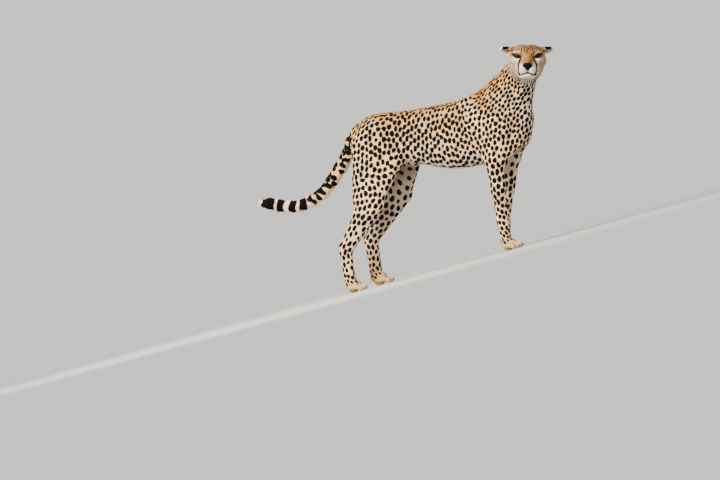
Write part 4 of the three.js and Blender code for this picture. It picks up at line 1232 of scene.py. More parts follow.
def mesh_piece(name, points, faces, material, smooth=True):
    """A piece from points in metres and faces, which are rows of corners that may repeat one."""
    mesh = bpy.data.meshes.new(name)
    faces = np.asarray(faces)
    keep = faces != np.roll(faces, -1, axis=1)
    sizes = keep.sum(1)
    whole = sizes >= 3
    faces, keep, sizes = faces[whole], keep[whole], sizes[whole]
    mesh.vertices.add(len(points))
    mesh.vertices.foreach_set("co", np.asarray(points, np.float32).ravel())
    mesh.loops.add(int(sizes.sum()))
    mesh.loops.foreach_set("vertex_index", faces[keep].astype(np.int32))
    mesh.polygons.add(len(faces))
    mesh.polygons.foreach_set("loop_start", (np.cumsum(sizes) - sizes).astype(np.int32))
    mesh.update(calc_edges=True)
    mesh.validate()
    mesh.polygons.foreach_set("use_smooth", np.full(len(mesh.polygons), smooth))
    mesh.materials.append(material)
    piece = bpy.data.objects.new(name, mesh)
    bpy.context.scene.collection.objects.link(piece)
    return piece


def store(piece, name, values):
    """A value or a colour per corner point."""
    mesh = piece.data
    if np.ndim(values) == 2:
        attribute = mesh.attributes.new(name, "FLOAT_COLOR", "POINT")
        rgba = np.ones((len(values), 4), np.float32)
        rgba[:, :3] = values
        attribute.data.foreach_set("color", rgba.ravel())
    else:
        attribute = mesh.attributes.new(name, "FLOAT", "POINT")
        attribute.data.foreach_set("value", np.asarray(values, np.float32))


class Shader:
    """Small help for building a material's nodes."""

    def __init__(self, name):
        self.material = bpy.data.materials.new(name)
        self.material.use_nodes = True
        self.nodes, self.links = self.material.node_tree.nodes, self.material.node_tree.links
        self.bsdf = self.nodes["Principled BSDF"]

    def add(self, kind, **settings):
        node = self.nodes.new(kind)
        for key, value in settings.items():
            setattr(node, key, value)
        return node

    def link(self, source, target):
        self.links.new(source, target)
        return source

    def math(self, operation, a, b, c=None, clamp=False):
        node = self.add("ShaderNodeMath", operation=operation, use_clamp=clamp)
        for socket, value in zip(node.inputs, (a, b, c)):
            if value is None:
                continue
            if isinstance(value, (int, float)):
                socket.default_value = value
            else:
                self.link(value, socket)
        return node.outputs[0]

    def mixed(self, factor, a, b, blend="MIX"):
        node = self.add("ShaderNodeMix", data_type="RGBA", blend_type=blend)
        for socket, value in ((node.inputs[0], factor), (node.inputs[6], a), (node.inputs[7], b)):
            if isinstance(value, (int, float)):
                socket.default_value = value
            elif isinstance(value, (tuple, list, np.ndarray)):
                socket.default_value = (*value, 1)
            else:
                self.link(value, socket)
        return node.outputs[2]

    def colour(self, source):
        self.link(source, self.bsdf.inputs["Base Color"])

    def grained(self, source, grain, low, spread):
        """Sets a colour that fine noise darkens and lightens, from low to low + spread times."""
        shade = self.math("MULTIPLY_ADD", grain, spread, low)
        gray = self.add("ShaderNodeCombineColor")
        for socket in gray.inputs:
            self.link(shade, socket)
        self.colour(self.mixed(1.0, source, gray.outputs[0], "MULTIPLY"))

    def attribute(self, name, output="Fac"):
        return self.add("ShaderNodeAttribute", attribute_name=name).outputs[output]

    def noise(self, scale, detail=3.0, roughness=0.55):
        where = self.add("ShaderNodeTexCoord").outputs["Object"]
        node = self.add("ShaderNodeTexNoise")
        node.inputs["Scale"].default_value = scale
        node.inputs["Detail"].default_value = detail
        node.inputs["Roughness"].default_value = roughness
        self.link(where, node.inputs["Vector"])
        return node.outputs[0]

    def bump(self, height, distance):
        node = self.add("ShaderNodeBump")
        node.inputs["Distance"].default_value = distance
        self.link(height, node.inputs["Height"])
        self.link(node.outputs[0], self.bsdf.inputs["Normal"])

    def set(self, **values):
        for key, value in values.items():
            self.bsdf.inputs[key.replace("_", " ")].default_value = value


MARK_DEPTH = 2.2  # a power: the higher, the sooner a mark is fully dark inside its edge


def hair_material(name, grain, bump_depth):
    """The coat's finish: the ground colour under the marks, with a little grain."""
    look = bpy.context.scene.cheetah_coat
    s = Shader(name)
    edge = s.math("MULTIPLY_ADD", s.attribute("mark_edge"), -MM / look.mark_softness, 0.5, clamp=True)
    light_left = s.math("SUBTRACT", 1.0, s.math("MULTIPLY", edge, s.attribute("mark_dark"), clamp=True))
    amount = s.math("SUBTRACT", 1.0, s.math("POWER", light_left, MARK_DEPTH), clamp=True)
    colour = s.mixed(amount, s.attribute("ground", "Color"), tuple(look.mark_colour))
    s.grained(colour, s.noise(grain, 3.0), 0.75, 0.5)
    s.set(Roughness=0.8, Specular_IOR_Level=0.1)
    s.bump(s.noise(grain * 1.6, 4.0, 0.6), bump_depth)
    return s.material


# ---- settings

COLOUR = {"subtype": "COLOR", "size": 3, "min": 0.0, "max": 1.0}


class CheetahCoat(bpy.types.PropertyGroup):
    """Sizes and colours of the coat."""

    tufts: bpy.props.IntProperty(
        name="Tufts", description="Tufts over the whole body", default=350000, min=1000
    )
    net_pitch: bpy.props.FloatProperty(
        name="Skin net", description="Spacing of the skin's net", default=6.6 * MM, unit="LENGTH"
    )
    length: bpy.props.FloatProperty(
        name="Tuft length", description="Length of a tuft on the flank", default=9 * MM, unit="LENGTH"
    )
    width: bpy.props.FloatProperty(
        name="Tuft width", description="Width of a tuft on the flank", default=2.7 * MM, unit="LENGTH"
    )
    mark_softness: bpy.props.FloatProperty(
        name="Mark edges", description="Width over which a mark fades", default=1.6 * MM, unit="LENGTH"
    )
    mark_colour: bpy.props.FloatVectorProperty(
        name="Marks",
        description="Colour of spots, rings and tear lines",
        default=tuple(TONE["mark"]),
        **COLOUR,
    )


class CheetahEyes(bpy.types.PropertyGroup):
    """Sizes and colours of the eyes."""

    iris: bpy.props.FloatVectorProperty(
        name="Iris",
        description="Colour of the iris",
        default=tuple(linear((0.22, 0.125, 0.052))),
        **COLOUR,
    )
    pupil: bpy.props.FloatProperty(
        name="Pupil", description="Radius of the pupil", default=6.2 * MM, unit="LENGTH"
    )
    iris_radius: bpy.props.FloatProperty(
        name="Iris radius", description="Radius of the iris", default=12.5 * MM, unit="LENGTH"
    )


class CheetahDetails(bpy.types.PropertyGroup):
    """Sizes and colours of nose, claws and whiskers."""

    nose: bpy.props.FloatVectorProperty(
        name="Nose",
        description="Colour of the nose",
        default=tuple(linear((0.022, 0.017, 0.017))),
        **COLOUR,
    )
    horn: bpy.props.FloatVectorProperty(
        name="Claws",
        description="Colour of the claws",
        default=tuple(linear((0.22, 0.18, 0.155))),
        **COLOUR,
    )
    whisker: bpy.props.FloatProperty(
        name="Whisker", description="Radius of a whisker at its root", default=0.17 * MM, unit="LENGTH"
    )


class CheetahStage(bpy.types.PropertyGroup):
    """The floor, the lights and the camera."""

    floor: bpy.props.FloatVectorProperty(
        name="Floor",
        description="Colour of the floor",
        default=tuple(linear((0.62, 0.615, 0.60))),
        **COLOUR,
    )
    backdrop: bpy.props.FloatVectorProperty(
        name="Backdrop",
        description="Colour behind the animal",
        default=tuple(linear((0.86, 0.855, 0.845))),
        **COLOUR,
    )
    brightness: bpy.props.FloatProperty(
        name="Brightness", description="Brightness of the backdrop", default=1.35, min=0.0
    )
    azimuth: bpy.props.FloatProperty(
        name="Azimuth", description="Camera's way round", default=math.radians(16), subtype="ANGLE"
    )
    roll: bpy.props.FloatProperty(
        name="Roll", description="How far the camera leans", default=math.radians(15.4), subtype="ANGLE"
    )
    distance: bpy.props.FloatProperty(
        name="Distance", description="From the camera to the animal", default=30.0, unit="LENGTH"
    )
    frame_width: bpy.props.FloatProperty(
        name="Frame width", description="Width seen at the animal", default=3.384, unit="LENGTH"
    )


# ---- the skin and the coat

MODEL = {}


def whole_skin():
    """The skin's knots, facets, normals and what each knot's part of the body is."""
    if "skin" in MODEL:
        return MODEL["skin"]
    pitch = bpy.context.scene.cheetah_coat.net_pitch / MM
    finer = [
        (vec(520, -206, 716), vec(800, 40, 960), -1),
        (vec(604, -196, 736), vec(732, -58, 892), 0),
    ]
    for kind, side in PAWS:
        origin, _ = paw_frame(kind, side)
        finer.append((origin + (-44, -52, -14), origin + (92, 52, 62), -1))
    knots, quads = lay_net(skin_field, vec(-900, -190, -20), vec(812, 190, 960), pitch, finer)
    knots, normal = settle(skin_field, knots, quads)
    MODEL["skin"] = knots, quads, normal, part_shares(knots)
    return MODEL["skin"]


def triangles(quads):
    """Three corners each. Facets that repeat a corner give one triangle."""
    both = np.concatenate([quads[:, (0, 1, 2)], quads[:, (0, 2, 3)]])
    a, b, c = both.T
    return both[(a != b) & (b != c) & (c != a)]


def sampled_skin(count, density, rng):
    """Random places on the skin, more where density is higher."""
    knots, quads, normal, _ = whole_skin()
    tris = triangles(quads)
    corners = knots[tris]
    a, b, c = (corners[:, k] for k in range(3))
    area = np.linalg.norm(np.cross(b - a, c - a), axis=1) / 2
    weight = area * density(corners.mean(1))
    total = np.cumsum(weight)
    pick = np.searchsorted(total, (np.arange(count) + rng.random(count)) / count * total[-1])
    pick = np.minimum(pick, len(tris) - 1)
    u, v = rng.random((2, count))
    flip = u + v > 1
    u, v = np.where(flip, 1 - u, u), np.where(flip, 1 - v, v)
    share = np.stack([1 - u - v, u, v], 1)[:, :, None]
    return (knots[tris[pick]] * share).sum(1), unit((normal[tris[pick]] * share).sum(1))


SPOT_PLACES = 60000  # places on the skin from which the spots' middles are taken


def all_spots():
    """The spots of the body and the blotches of the tail."""
    if "spots" in MODEL:
        return MODEL["spots"]
    rng = np.random.default_rng(SEED + 1)

    def density(at):
        return mix(1.0, 7.0, np.linalg.norm(at - HEAD_AT, axis=1) < 130)

    p, normal = sampled_skin(SPOT_PLACES, density, rng)
    shares = part_shares(p)
    lie = lie_of_coat(p, normal, shares)
    spots = throw_spots(p, normal, lie, shares)
    on_tail = tail_marks(p, normal, lie, shares, np.random.default_rng(SEED + 2))
    MODEL["spots"] = {name: np.concatenate([spots[name], on_tail[name]]) for name in spots}
    return MODEL["spots"]


def unwrapped(part, p):
    """A place on the unwrap of one part of the skin: along it and round it, both 0 to 1."""
    if part == "head":
        q = to_head(p) - vec(-30, 0, -25)
        return np.arctan2(q[:, 1], q[:, 0]) / (2 * math.pi) + 0.5, np.arccos(unit(q)[:, 2]) / math.pi
    lines = {
        "trunk": [vec(-350, 0, 640), vec(560, 0, 600)],
        "neck": [NECK[0][0] - (60, 0, 50), NECK[-1][0] + (40, -20, 50)],
        "tail": TAIL_POINTS,
    }
    if part in lines:
        line = np.array(lines[part])
    else:
        kind, side = part.split("_")
        points = [JOINTS[side][name] for name in BONES[kind]]
        line = np.array([points[0] + (0, 0, 120), *points, points[-1] + (70, 0, -20)])
    steps = np.linalg.norm(np.diff(line, axis=0), axis=1)
    marks = np.concatenate([[0], np.cumsum(steps)]) / steps.sum()
    best, u, v = np.full(len(p), FAR), np.zeros(len(p)), np.zeros(len(p))
    for i, (a, b) in enumerate(zip(line, line[1:])):
        t, q = beside(a, b, p)
        d = np.linalg.norm(q, axis=1)
        side_way = unit(np.cross(b - a, UP))
        angle = np.arctan2(q @ side_way, q @ unit(np.cross(side_way, b - a)))
        nearer = d < best
        best = np.where(nearer, d, best)
        u = np.where(nearer, mix(marks[i], marks[i + 1], t), u)
        v = np.where(nearer, angle / (2 * math.pi) + 0.5, v)
    return u, v


class CHEETAH_OT_skin(bpy.types.Operator):
    """One skin over the whole body, with its folds, lids, lips, ears and toes"""

    bl_idname = "cheetah.skin"
    bl_label = "Skin"

    def execute(self, context):
        knots, quads, normal, shares = whole_skin()
        material = hair_material("Skin_and_flat_hair", 900.0, 0.0005)
        piece = mesh_piece("skin", place(knots), quads, material)
        edge, dark = marks_at(all_spots(), knots, normal, shares, lip=3.4)
        store(piece, "ground", ground_colour(knots, normal, shares))
        store(piece, "mark_edge", edge)
        store(piece, "mark_dark", dark)
        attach(piece, "root")
        lengths = ("foreleg", "thigh", "shank", "hock", "forepaw", "hindpaw")
        legs = [f"{part}_{side}" for part in lengths for side in SIDES]
        ears = [f"ear_{side}" for side in SIDES]
        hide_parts("torso", "neck", "head", *ears, "tail_root", "tail_middle", "tail_tip", *legs)
        return {"FINISHED"}


MOST_TUFTS = 48000  # in one piece
KEEL = 0.42  # how far along a tuft its highest point lies
MARK_STEPS = (0.0, KEEL, 0.75)  # where along a tuft its marks are looked up
UV_EDGE, UV_PATCH = 0.004, 0.003  # the unwrap's free edge and the size of one tuft's patch in it


def tuft_mesh(name, material, rng, root, normal, way, length, width, lift, colour, edge, dark, uv):
    """Thin closed tufts of four facets, lying along way. edge and dark hold a value per mark step."""
    count = len(root)
    side = np.cross(normal, way) * (width / 2)[:, None]
    sunk = root - normal * 0.5
    rise = np.sin(lift)
    keel = root + way * (length * KEEL)[:, None] + normal * (length * KEEL * rise + width * 0.2)[:, None]
    tip = root + way * (length * np.cos(lift))[:, None] + normal * (length * rise * 0.92)[:, None]
    tip += side * rng.normal(0, 0.8, count)[:, None]
    points = np.stack([sunk + side, sunk - side, keel, tip], 1).reshape(-1, 3)
    facets = np.array([(0, 1, 2), (1, 3, 2), (0, 2, 3), (0, 3, 1)])
    faces = (np.arange(count)[:, None, None] * 4 + facets).reshape(-1, 3)
    piece = mesh_piece(name, place(points), faces, material, smooth=False)
    store(piece, "ground", np.repeat(colour, 4, axis=0))
    for name_, at_steps in (("mark_edge", edge), ("mark_dark", dark)):
        base, middle, end = at_steps.T
        store(piece, name_, np.stack([base, base, middle, end], 1).ravel())
    patch = np.array([(-0.5, -0.5), (0.5, -0.5), (0.0, 0.0), (0.0, 0.5)]) * UV_PATCH
    corner_uv = mix(UV_EDGE, 1 - UV_EDGE, uv)[:, None, None] + patch[facets]
    layer = piece.data.uv_layers.new(name="OFBake")
    layer.data.foreach_set("uv", corner_uv.reshape(-1).astype(np.float32))
    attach(piece, "root")
    return piece


class CHEETAH_OT_coat(bpy.types.Operator):
    """The coat: thin overlapping tufts over the whole skin, smallest on the face and feet"""

    bl_idname = "cheetah.coat"
    bl_label = "Coat"

    def execute(self, context):
        look = context.scene.cheetah_coat
        rng = np.random.default_rng(SEED + 3)

        def density(at):
            head = ease(-np.linalg.norm(at - HEAD_AT, axis=1), -150, -110)
            legs = ease(-at[:, 2], -420, -300) * (at[:, 0] > -560)
            feet = ease(-at[:, 2], -110, -50)
            return 1 + 2.2 * head + 0.35 * legs + 1.0 * feet

        p, normal = sampled_skin(look.tufts, density, rng)
        shares = part_shares(p)
        lie = lie_of_coat(p, normal, shares)
        length, width, lift = self.sizes(p, normal, shares, look)
        keep = self.kept(p, normal)
        count = len(p)
        length = length * rng.uniform(0.75, 1.2, count)
        width = width * rng.uniform(0.8, 1.2, count)
        lift = lift * rng.uniform(0.6, 1.3, count)
        swing = rng.normal(0, 0.17, count)
        side = np.cross(normal, lie)
        way = lie * np.cos(swing)[:, None] + side * np.sin(swing)[:, None]
        steps = (p + way * (length * t)[:, None] for t in MARK_STEPS)
        marks = [marks_at(all_spots(), at, normal, shares) for at in steps]
        edge, dark = (np.stack(values, 1) for values in zip(*marks))
        colour = ground_colour(p, normal, shares) * rng.uniform(0.92, 1.08, count)[:, None]
        tufts = {"root": p, "normal": normal, "way": way, "length": length, "width": width, "lift": lift}
        tufts |= {"colour": colour, "edge": edge, "dark": dark}
        main = shares.argmax(1)
        material = hair_material("Coat_hair", 700.0, 0.0002)
        for i, part in enumerate(PARTS):
            own = np.flatnonzero((main == i) & keep)
            uv = np.stack(unwrapped(part, p[own]), 1)
            pieces = -(-len(own) // MOST_TUFTS)
            order = np.argsort(uv[:, 1], kind="stable") if pieces > 1 else np.arange(len(own))
            for k, some in enumerate(np.array_split(order, pieces)):
                name = f"coat_{part}" + (f"_{k + 1}" if pieces > 1 else "")
                these = {key: values[own[some]] for key, values in tufts.items()}
                tuft_mesh(name, material, rng, uv=uv[some], **these)
        return {"FINISHED"}

    def sizes(self, p, normal, shares, look):
        """Length, width and lift of a tuft at each place."""
        flank, broad = look.length / MM, look.width / MM
        q = to_head(p)
        under = ease(-normal[:, 2], 0.35, 0.85)
        breast = ease(p[:, 0], 490, 560) * ease(normal[:, 0], 0.0, 0.6)
        trunk = flank * (1 + 1.1 * under + 0.7 * breast)
        neck = flank * (1.0 + 0.25 * ease(normal[:, 2], 0.4, 0.9) + 0.5 * breast)
        face = ease(np.linalg.norm(q - vec(40, 0, -40), axis=1), 40, 120)
        head = mix(2.6, 7.0, face) * mix(0.45, 1.0, ease(seen_from_ahead(LIP_LINE, q), 1, 9))
        leg = mix(2.8, flank * 0.9, ease(p[:, 2], 30, 440))
        tail = flank * (1.25 + 0.6 * ease(-p[:, 0], 700, 850))
        length = by_part(shares, trunk=trunk, neck=neck, head=head, tail=tail, fore=leg, hind=leg)
        fine = mix(0.42, 0.7, face)
        narrow = by_part(shares, trunk=1.0, neck=0.95, head=fine, tail=0.95, fore=0.85, hind=0.9)
        narrow *= mix(0.62, 1.0, ease(p[:, 2], 40, 140))
        lift = by_part(shares, trunk=0.30, neck=0.30, head=0.26, tail=0.42, fore=0.27, hind=0.27)
        return length, broad * narrow, lift + 0.12 * under * shares[:, 0]

    def kept(self, p, normal):
        """No hair in the eyes' openings, on the lid rims, between the lips or on the soles."""
        q = to_head(p)
        keep = np.ones(len(p), bool)
        for s in (-1, 1):
            own = (q - eye_at(s)) @ eye_axes(s)
            near = np.linalg.norm(q - eye_at(s), axis=1) < 34
            keep &= ~(near & (own[:, 0] > 0) & (almond(s, own) < 1.6))
        keep &= polyline_distance(LIP_LINE, q) > 2.2
        keep &= (seen_from_ahead(LIP_LINE, q) > 1.4) | (q[:, 0] < 10)
        keep &= np.linalg.norm((q - NOSE["at"]) / (NOSE["half"] + 1.0), axis=1) > 1.0
        keep &= ~((p[:, 2] < 4) & (normal[:, 2] < -0.5))
        return keep


# ---- eyes, nose, claws, whiskers


def eye_mesh():
    """An eyeball with its cornea bulging, and how far each point is from the middle of the pupil."""
    rings, sides, r = 40, 48, EYE["radius"]
    polar = math.pi * np.linspace(0, 1, rings + 1) ** 1.35
    points, away = [], []
    for a in polar:
        bulge = 1 + 0.07 * math.exp(-((a / 0.62) ** 4))
        for k in range(sides):
            b = 2 * math.pi * k / sides
            points.append((math.cos(a) * bulge, math.sin(a) * math.cos(b), math.sin(a) * math.sin(b)))
            away.append(a * r)
    points = np.array(points) * r
    faces = []
    for i in range(rings):
        for k in range(sides):
            n = (k + 1) % sides
            faces.append((i * sides + k, i * sides + n, (i + 1) * sides + n, (i + 1) * sides + k))
    faces = np.array(faces)[:, ::-1]
    faces = np.where(faces < sides, 0, np.minimum(faces, rings * sides))
    used, index = np.unique(faces, return_inverse=True)
    return points[used], index.reshape(faces.shape), np.array(away)[used]


EYE_RAMP = 20.0  # distance from the middle of the pupil at which the eye's colours end


class CHEETAH_OT_eyes(bpy.types.Operator):
    """The eyes: brown, with a round pupil and a dark rim"""

    bl_idname = "cheetah.eyes"
    bl_label = "Eyes"

    def execute(self, context):
        look = context.scene.cheetah_eyes
        s = Shader("Eye")
        away = s.attribute("from_pupil")
        ramp = s.add("ShaderNodeValToRGB")
        s.link(s.math("DIVIDE", away, EYE_RAMP), ramp.inputs[0])
        pupil, rim = look.pupil / MM / EYE_RAMP, look.iris_radius / MM / EYE_RAMP
        iris = np.array(look.iris)
        stops = [
            (pupil - 0.01, (0.002, 0.002, 0.002)),
            (pupil + 0.015, iris * 0.45),
            (mix(pupil, rim, 0.4), iris),
            (mix(pupil, rim, 0.8), iris * 0.55),
            (rim, iris * 0.06),
            (rim + 0.06, (0.02, 0.013, 0.01)),
        ]
        elements = ramp.color_ramp.elements
        elements.remove(elements[1])
        elements[0].position = stops[0][0]
        elements[0].color = (*stops[0][1], 1)
        for position, colour in stops[1:]:
            elements.new(position).color = (*colour, 1)
        s.grained(ramp.outputs[0], s.noise(900.0, 4.0), 0.65, 0.7)
        s.set(Roughness=0.35, Specular_IOR_Level=0.04, Coat_Weight=0.16, Coat_Roughness=0.03)
        points, faces, from_pupil = eye_mesh()
        for side, sign in SIDES.items():
            world = from_head(points @ eye_axes(sign).T + eye_at(sign))
            piece = mesh_piece(f"eyeball_{side}", place(world), faces, s.material)
            store(piece, "from_pupil", from_pupil)
            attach(piece, "root")
            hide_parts(f"eye_{side}")
        return {"FINISHED"}


def nose_field(q):
    """The bare nose: a broad pad with a comma of a nostril on each side and a groove down its middle."""
    centre, half = NOSE["at"], NOSE["half"]
    forms = [
        ball(centre, half, 1),
        ball(centre + (1, 0, -9), (half[0] - 2, half[1] * 0.68, half[2]), 6),
        ball(centre + (-2, 0, 5), (half[0], half[1] * 1.02, half[2] * 0.7), 5),
    ]
    d = gather(forms, q)
    for s in (-1, 1):
        line = [(76, 7, -50), (80, 11, -47.5), (78, 15.5, -49), (74, 20, -54)] * vec(1, s, 1)
        d = carve(d, polyline_distance(line, q) - 2.6, 2.2)
    middle = polyline_distance([(81, 0, -44), (80, 0, -62), (74, 0, -70)], q) - 0.7
    return carve(d, middle, 1.6)


class CHEETAH_OT_nose(bpy.types.Operator):
    """The bare nose with its nostrils"""

    bl_idname = "cheetah.nose"
    bl_label = "Nose"

    def execute(self, context):
        knots, quads = lay_net(nose_field, vec(44, -28, -76), vec(88, 28, -26), 1.1)
        knots, _ = settle(nose_field, knots, quads, rounds=3, longest=0.8)
        s = Shader("Nose_leather")
        s.set(Roughness=0.4, Specular_IOR_Level=0.06)
        dark = np.array(context.scene.cheetah_details.nose)
        s.colour(s.mixed(s.noise(700.0, 2.0), dark * 0.7, dark))
        s.bump(s.noise(1400.0, 2.0), 0.0006)
        piece = mesh_piece("nose_leather", place(from_head(knots)), quads, s.material)
        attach(piece, "root")
        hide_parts("nose")
        return {"FINISHED"}


def node_tree(name, sizes):
    """A new geometry tree with named sizes, its input node and its output node."""
    tree = bpy.data.node_groups.new(name, "GeometryNodeTree")
    tree.interface.new_socket("Geometry", in_out="INPUT", socket_type="NodeSocketGeometry")
    for label, default in sizes.items():
        socket = tree.interface.new_socket(label, in_out="INPUT", socket_type="NodeSocketFloat")
        socket.default_value = default
    tree.interface.new_socket("Geometry", in_out="OUTPUT", socket_type="NodeSocketGeometry")
    start, end = tree.nodes.new("NodeGroupInput"), tree.nodes.new("NodeGroupOutput")
    return tree, start, end


def grown(source, tree, name, sizes):
    """Runs a geometry tree on an object and gives the result as a plain piece of its own."""
    modifier = source.modifiers.new(name, "NODES")
    modifier.node_group = tree
    inputs = (item for item in tree.interface.items_tree if item.in_out == "INPUT")
    sockets = {item.name: item.identifier for item in inputs}
    for label, value in sizes.items():
        modifier[sockets[label]] = value
    graph = bpy.context.evaluated_depsgraph_get()
    mesh = bpy.data.meshes.new_from_object(source.evaluated_get(graph), depsgraph=graph)
    source.modifiers.remove(modifier)
    mesh.name = name
    piece = bpy.data.objects.new(name, mesh)
    bpy.context.scene.collection.objects.link(piece)
    bed = source.data
    bpy.data.objects.remove(source)
    bpy.data.meshes.remove(bed)
    return piece


def bed_of(name, points, edges):
    """Points and the lines between them, for a geometry tree to work on."""
    mesh = bpy.data.meshes.new(name)
    mesh.from_pydata([tuple(p) for p in points], [tuple(e) for e in edges], [])
    bed = bpy.data.objects.new(name, mesh)
    bpy.context.scene.collection.objects.link(bed)
    return bed


def tapered_lines(name, material, sides, sizes):
    """A geometry tree that turns lines into round tapered rods, thick where the attribute thick is 1."""
    tree, start, end = node_tree(name, sizes)
    new, link = tree.nodes.new, tree.links.new
    curve = new("GeometryNodeMeshToCurve")
    link(start.outputs["Geometry"], curve.inputs["Mesh"])
    thick = new("GeometryNodeInputNamedAttribute")
    thick.data_type = "FLOAT"
    thick.inputs["Name"].default_value = "thick"
    scaled = new("ShaderNodeMath")
    scaled.operation = "MULTIPLY"
    link(thick.outputs["Attribute"], scaled.inputs[0])
    link(start.outputs["Radius"], scaled.inputs[1])
    section = new("GeometryNodeCurvePrimitiveCircle")
    section.inputs["Resolution"].default_value = sides
    section.inputs["Radius"].default_value = 1.0
    rods = new("GeometryNodeCurveToMesh")
    rods.inputs["Fill Caps"].default_value = True
    link(curve.outputs["Curve"], rods.inputs["Curve"])
    link(section.outputs["Curve"], rods.inputs["Profile Curve"])
    link(scaled.outputs[0], rods.inputs["Scale"])
    real = new("GeometryNodeRealizeInstances")
    link(rods.outputs["Mesh"], real.inputs["Geometry"])
    finish = new("GeometryNodeSetMaterial")
    finish.inputs["Material"].default_value = material
    link(real.outputs["Geometry"], finish.inputs["Geometry"])
    link(finish.outputs["Geometry"], end.inputs["Geometry"])
    return tree


def grown_lines(name, lines, material, radius, sides):
    """Tapered rods along lines whose rows are x, y, z on the straight body and thickness from 0 to 1."""
    points = np.concatenate([line[:, :3] for line in lines])
    thick = np.concatenate([line[:, 3] for line in lines])
    edges, first = [], 0
    for line in lines:
        edges += [(first + i, first + i + 1) for i in range(len(line) - 1)]
        first += len(line)
    bed = bed_of(name + "_bed", place(points), edges)
    store(bed, "thick", thick)
    sizes = {"Radius": radius}
    piece = grown(bed, tapered_lines(name, material, sides, sizes), name, sizes)
    piece.data.polygons.foreach_set("use_smooth", np.full(len(piece.data.polygons), True))
    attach(piece, "root")
    return piece


CLAW_RADIUS = 2.5  # at its root


class CHEETAH_OT_claws(bpy.types.Operator):
    """Four blunt claws on each paw"""

    bl_idname = "cheetah.claws"
    bl_label = "Claws"

    def execute(self, context):
        s = Shader("Claw_horn")
        horn = np.array(context.scene.cheetah_details.horn)
        s.colour(s.mixed(s.noise(500.0, 3.0), horn * 0.6, horn * 1.5))
        s.set(Roughness=0.4, Specular_IOR_Level=0.3)
        s.bump(s.noise(1200.0, 2.0), 0.0002)
        lines, names = [], []
        for kind, side in PAWS:
            origin, turn = paw_frame(kind, side)
            for i in range(TOE["count"]):
                tip = toe_joints(i)[2]
                hook = np.array([(3, 0, 4), (10, 0, 5), (14, 0, 1.5), (16, 0, -4)], float) + tip
                line = []
                for t in np.linspace(0, 1, 9):
                    at = hook
                    while len(at) > 1:
                        at = mix(at[:-1], at[1:], t)
                    line.append((*(turn @ at[0] + origin), max(0.12, (1 - t**1.6) ** 0.8)))
                lines.append(np.array(line))
                names.append(f"{kind}paw_{side}_claw_{i + 1}")
        piece = grown_lines("claws", lines, s.material, CLAW_RADIUS * MM, 10)
        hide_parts(*names)
        return {"FINISHED"}


class CHEETAH_OT_whiskers(bpy.types.Operator):
    """Whiskers on the muzzle and above the eyes"""

    bl_idname = "cheetah.whiskers"
    bl_label = "Whiskers"

    def execute(self, context):
        s = Shader("Whisker")
        s.set(Roughness=0.35, Specular_IOR_Level=0.5)
        s.colour(s.mixed(s.noise(300.0), (0.75, 0.72, 0.66), (0.9, 0.88, 0.84)))
        rng = np.random.default_rng(SEED + 4)
        lines = []
        for sign in SIDES.values():
            for row in range(4):
                for k in (1, 2, 4):
                    root = vec(60 - 5.5 * k, sign * (18 + 4.6 * k), -60 - 5.5 * row + 1.2 * k)
                    way = unit(vec(-0.15 - 0.07 * k, sign, 0.12 - 0.13 * row) + rng.normal(0, 0.05, 3))
                    lines.append(self.hair(root, way, rng.uniform(32, 56)))
            for k in range(3):
                root = vec(19 - 2 * k, sign * (38 + 6 * k), 17)
                way = unit(vec(0.25, sign * 0.35, 0.85) + rng.normal(0, 0.05, 3))
                lines.append(self.hair(root, way, 26))
        grown_lines("whiskers", lines, s.material, context.scene.cheetah_details.whisker, 5)
        return {"FINISHED"}

    def hair(self, root, way, length):
        """A line that springs from the skin near root and droops a little."""
        depth = np.linspace(-14, 30, 60)
        probe = root + depth[:, None] * vec(1, 0, 0)
        inside = skin_field(from_head(probe)) < 0
        start = probe[np.flatnonzero(inside)[-1]] if inside.any() else root
        start = start - way * 1.5
        t = np.linspace(0, 1, 9)
        points = start + way * (t * length)[:, None] - UP * (t**2 * length * 0.12)[:, None]
        thick = np.maximum(1 - t, 0.1)
        return np.concatenate([from_head(points), thick[:, None]], axis=1)


# ---- floor, lights and camera


FLOOR_REACH = 90.0  # half the floor's width
FLOOR_FADE = (1.2, 4.5)  # how far out the floor begins to fade into the backdrop, and where it has
# Each light's place, what it points at, its width, its power and its colour.
LIGHTS = {
    "Key": ((-1.3, -3.2, 3.9), (0, 0, 0.5), 1.4, 840, (1.0, 0.955, 0.90)),
    "Fill": ((3.2, -2.8, 1.6), (0, 0, 0.5), 2.6, 40, (0.95, 0.97, 1.0)),
    "Rim": ((-1.2, 3.2, 2.6), (0, 0, 0.6), 2.0, 110, (1.0, 0.97, 0.93)),
}
AIM = (-0.412, 0.231)  # the middle of the view, to the right of the body's own origin and above it


def area_light(name, at, target, size, power, colour):
    light = bpy.data.lights.new(name, "AREA")
    light.shape, light.size, light.energy, light.color = "DISK", size, power, colour
    lamp = bpy.data.objects.new(name, light)
    lamp.location = at
    lamp.rotation_mode = "QUATERNION"
    lamp.rotation_quaternion = (Vector(target) - Vector(at)).to_track_quat("-Z", "Y")
    bpy.context.scene.collection.objects.link(lamp)


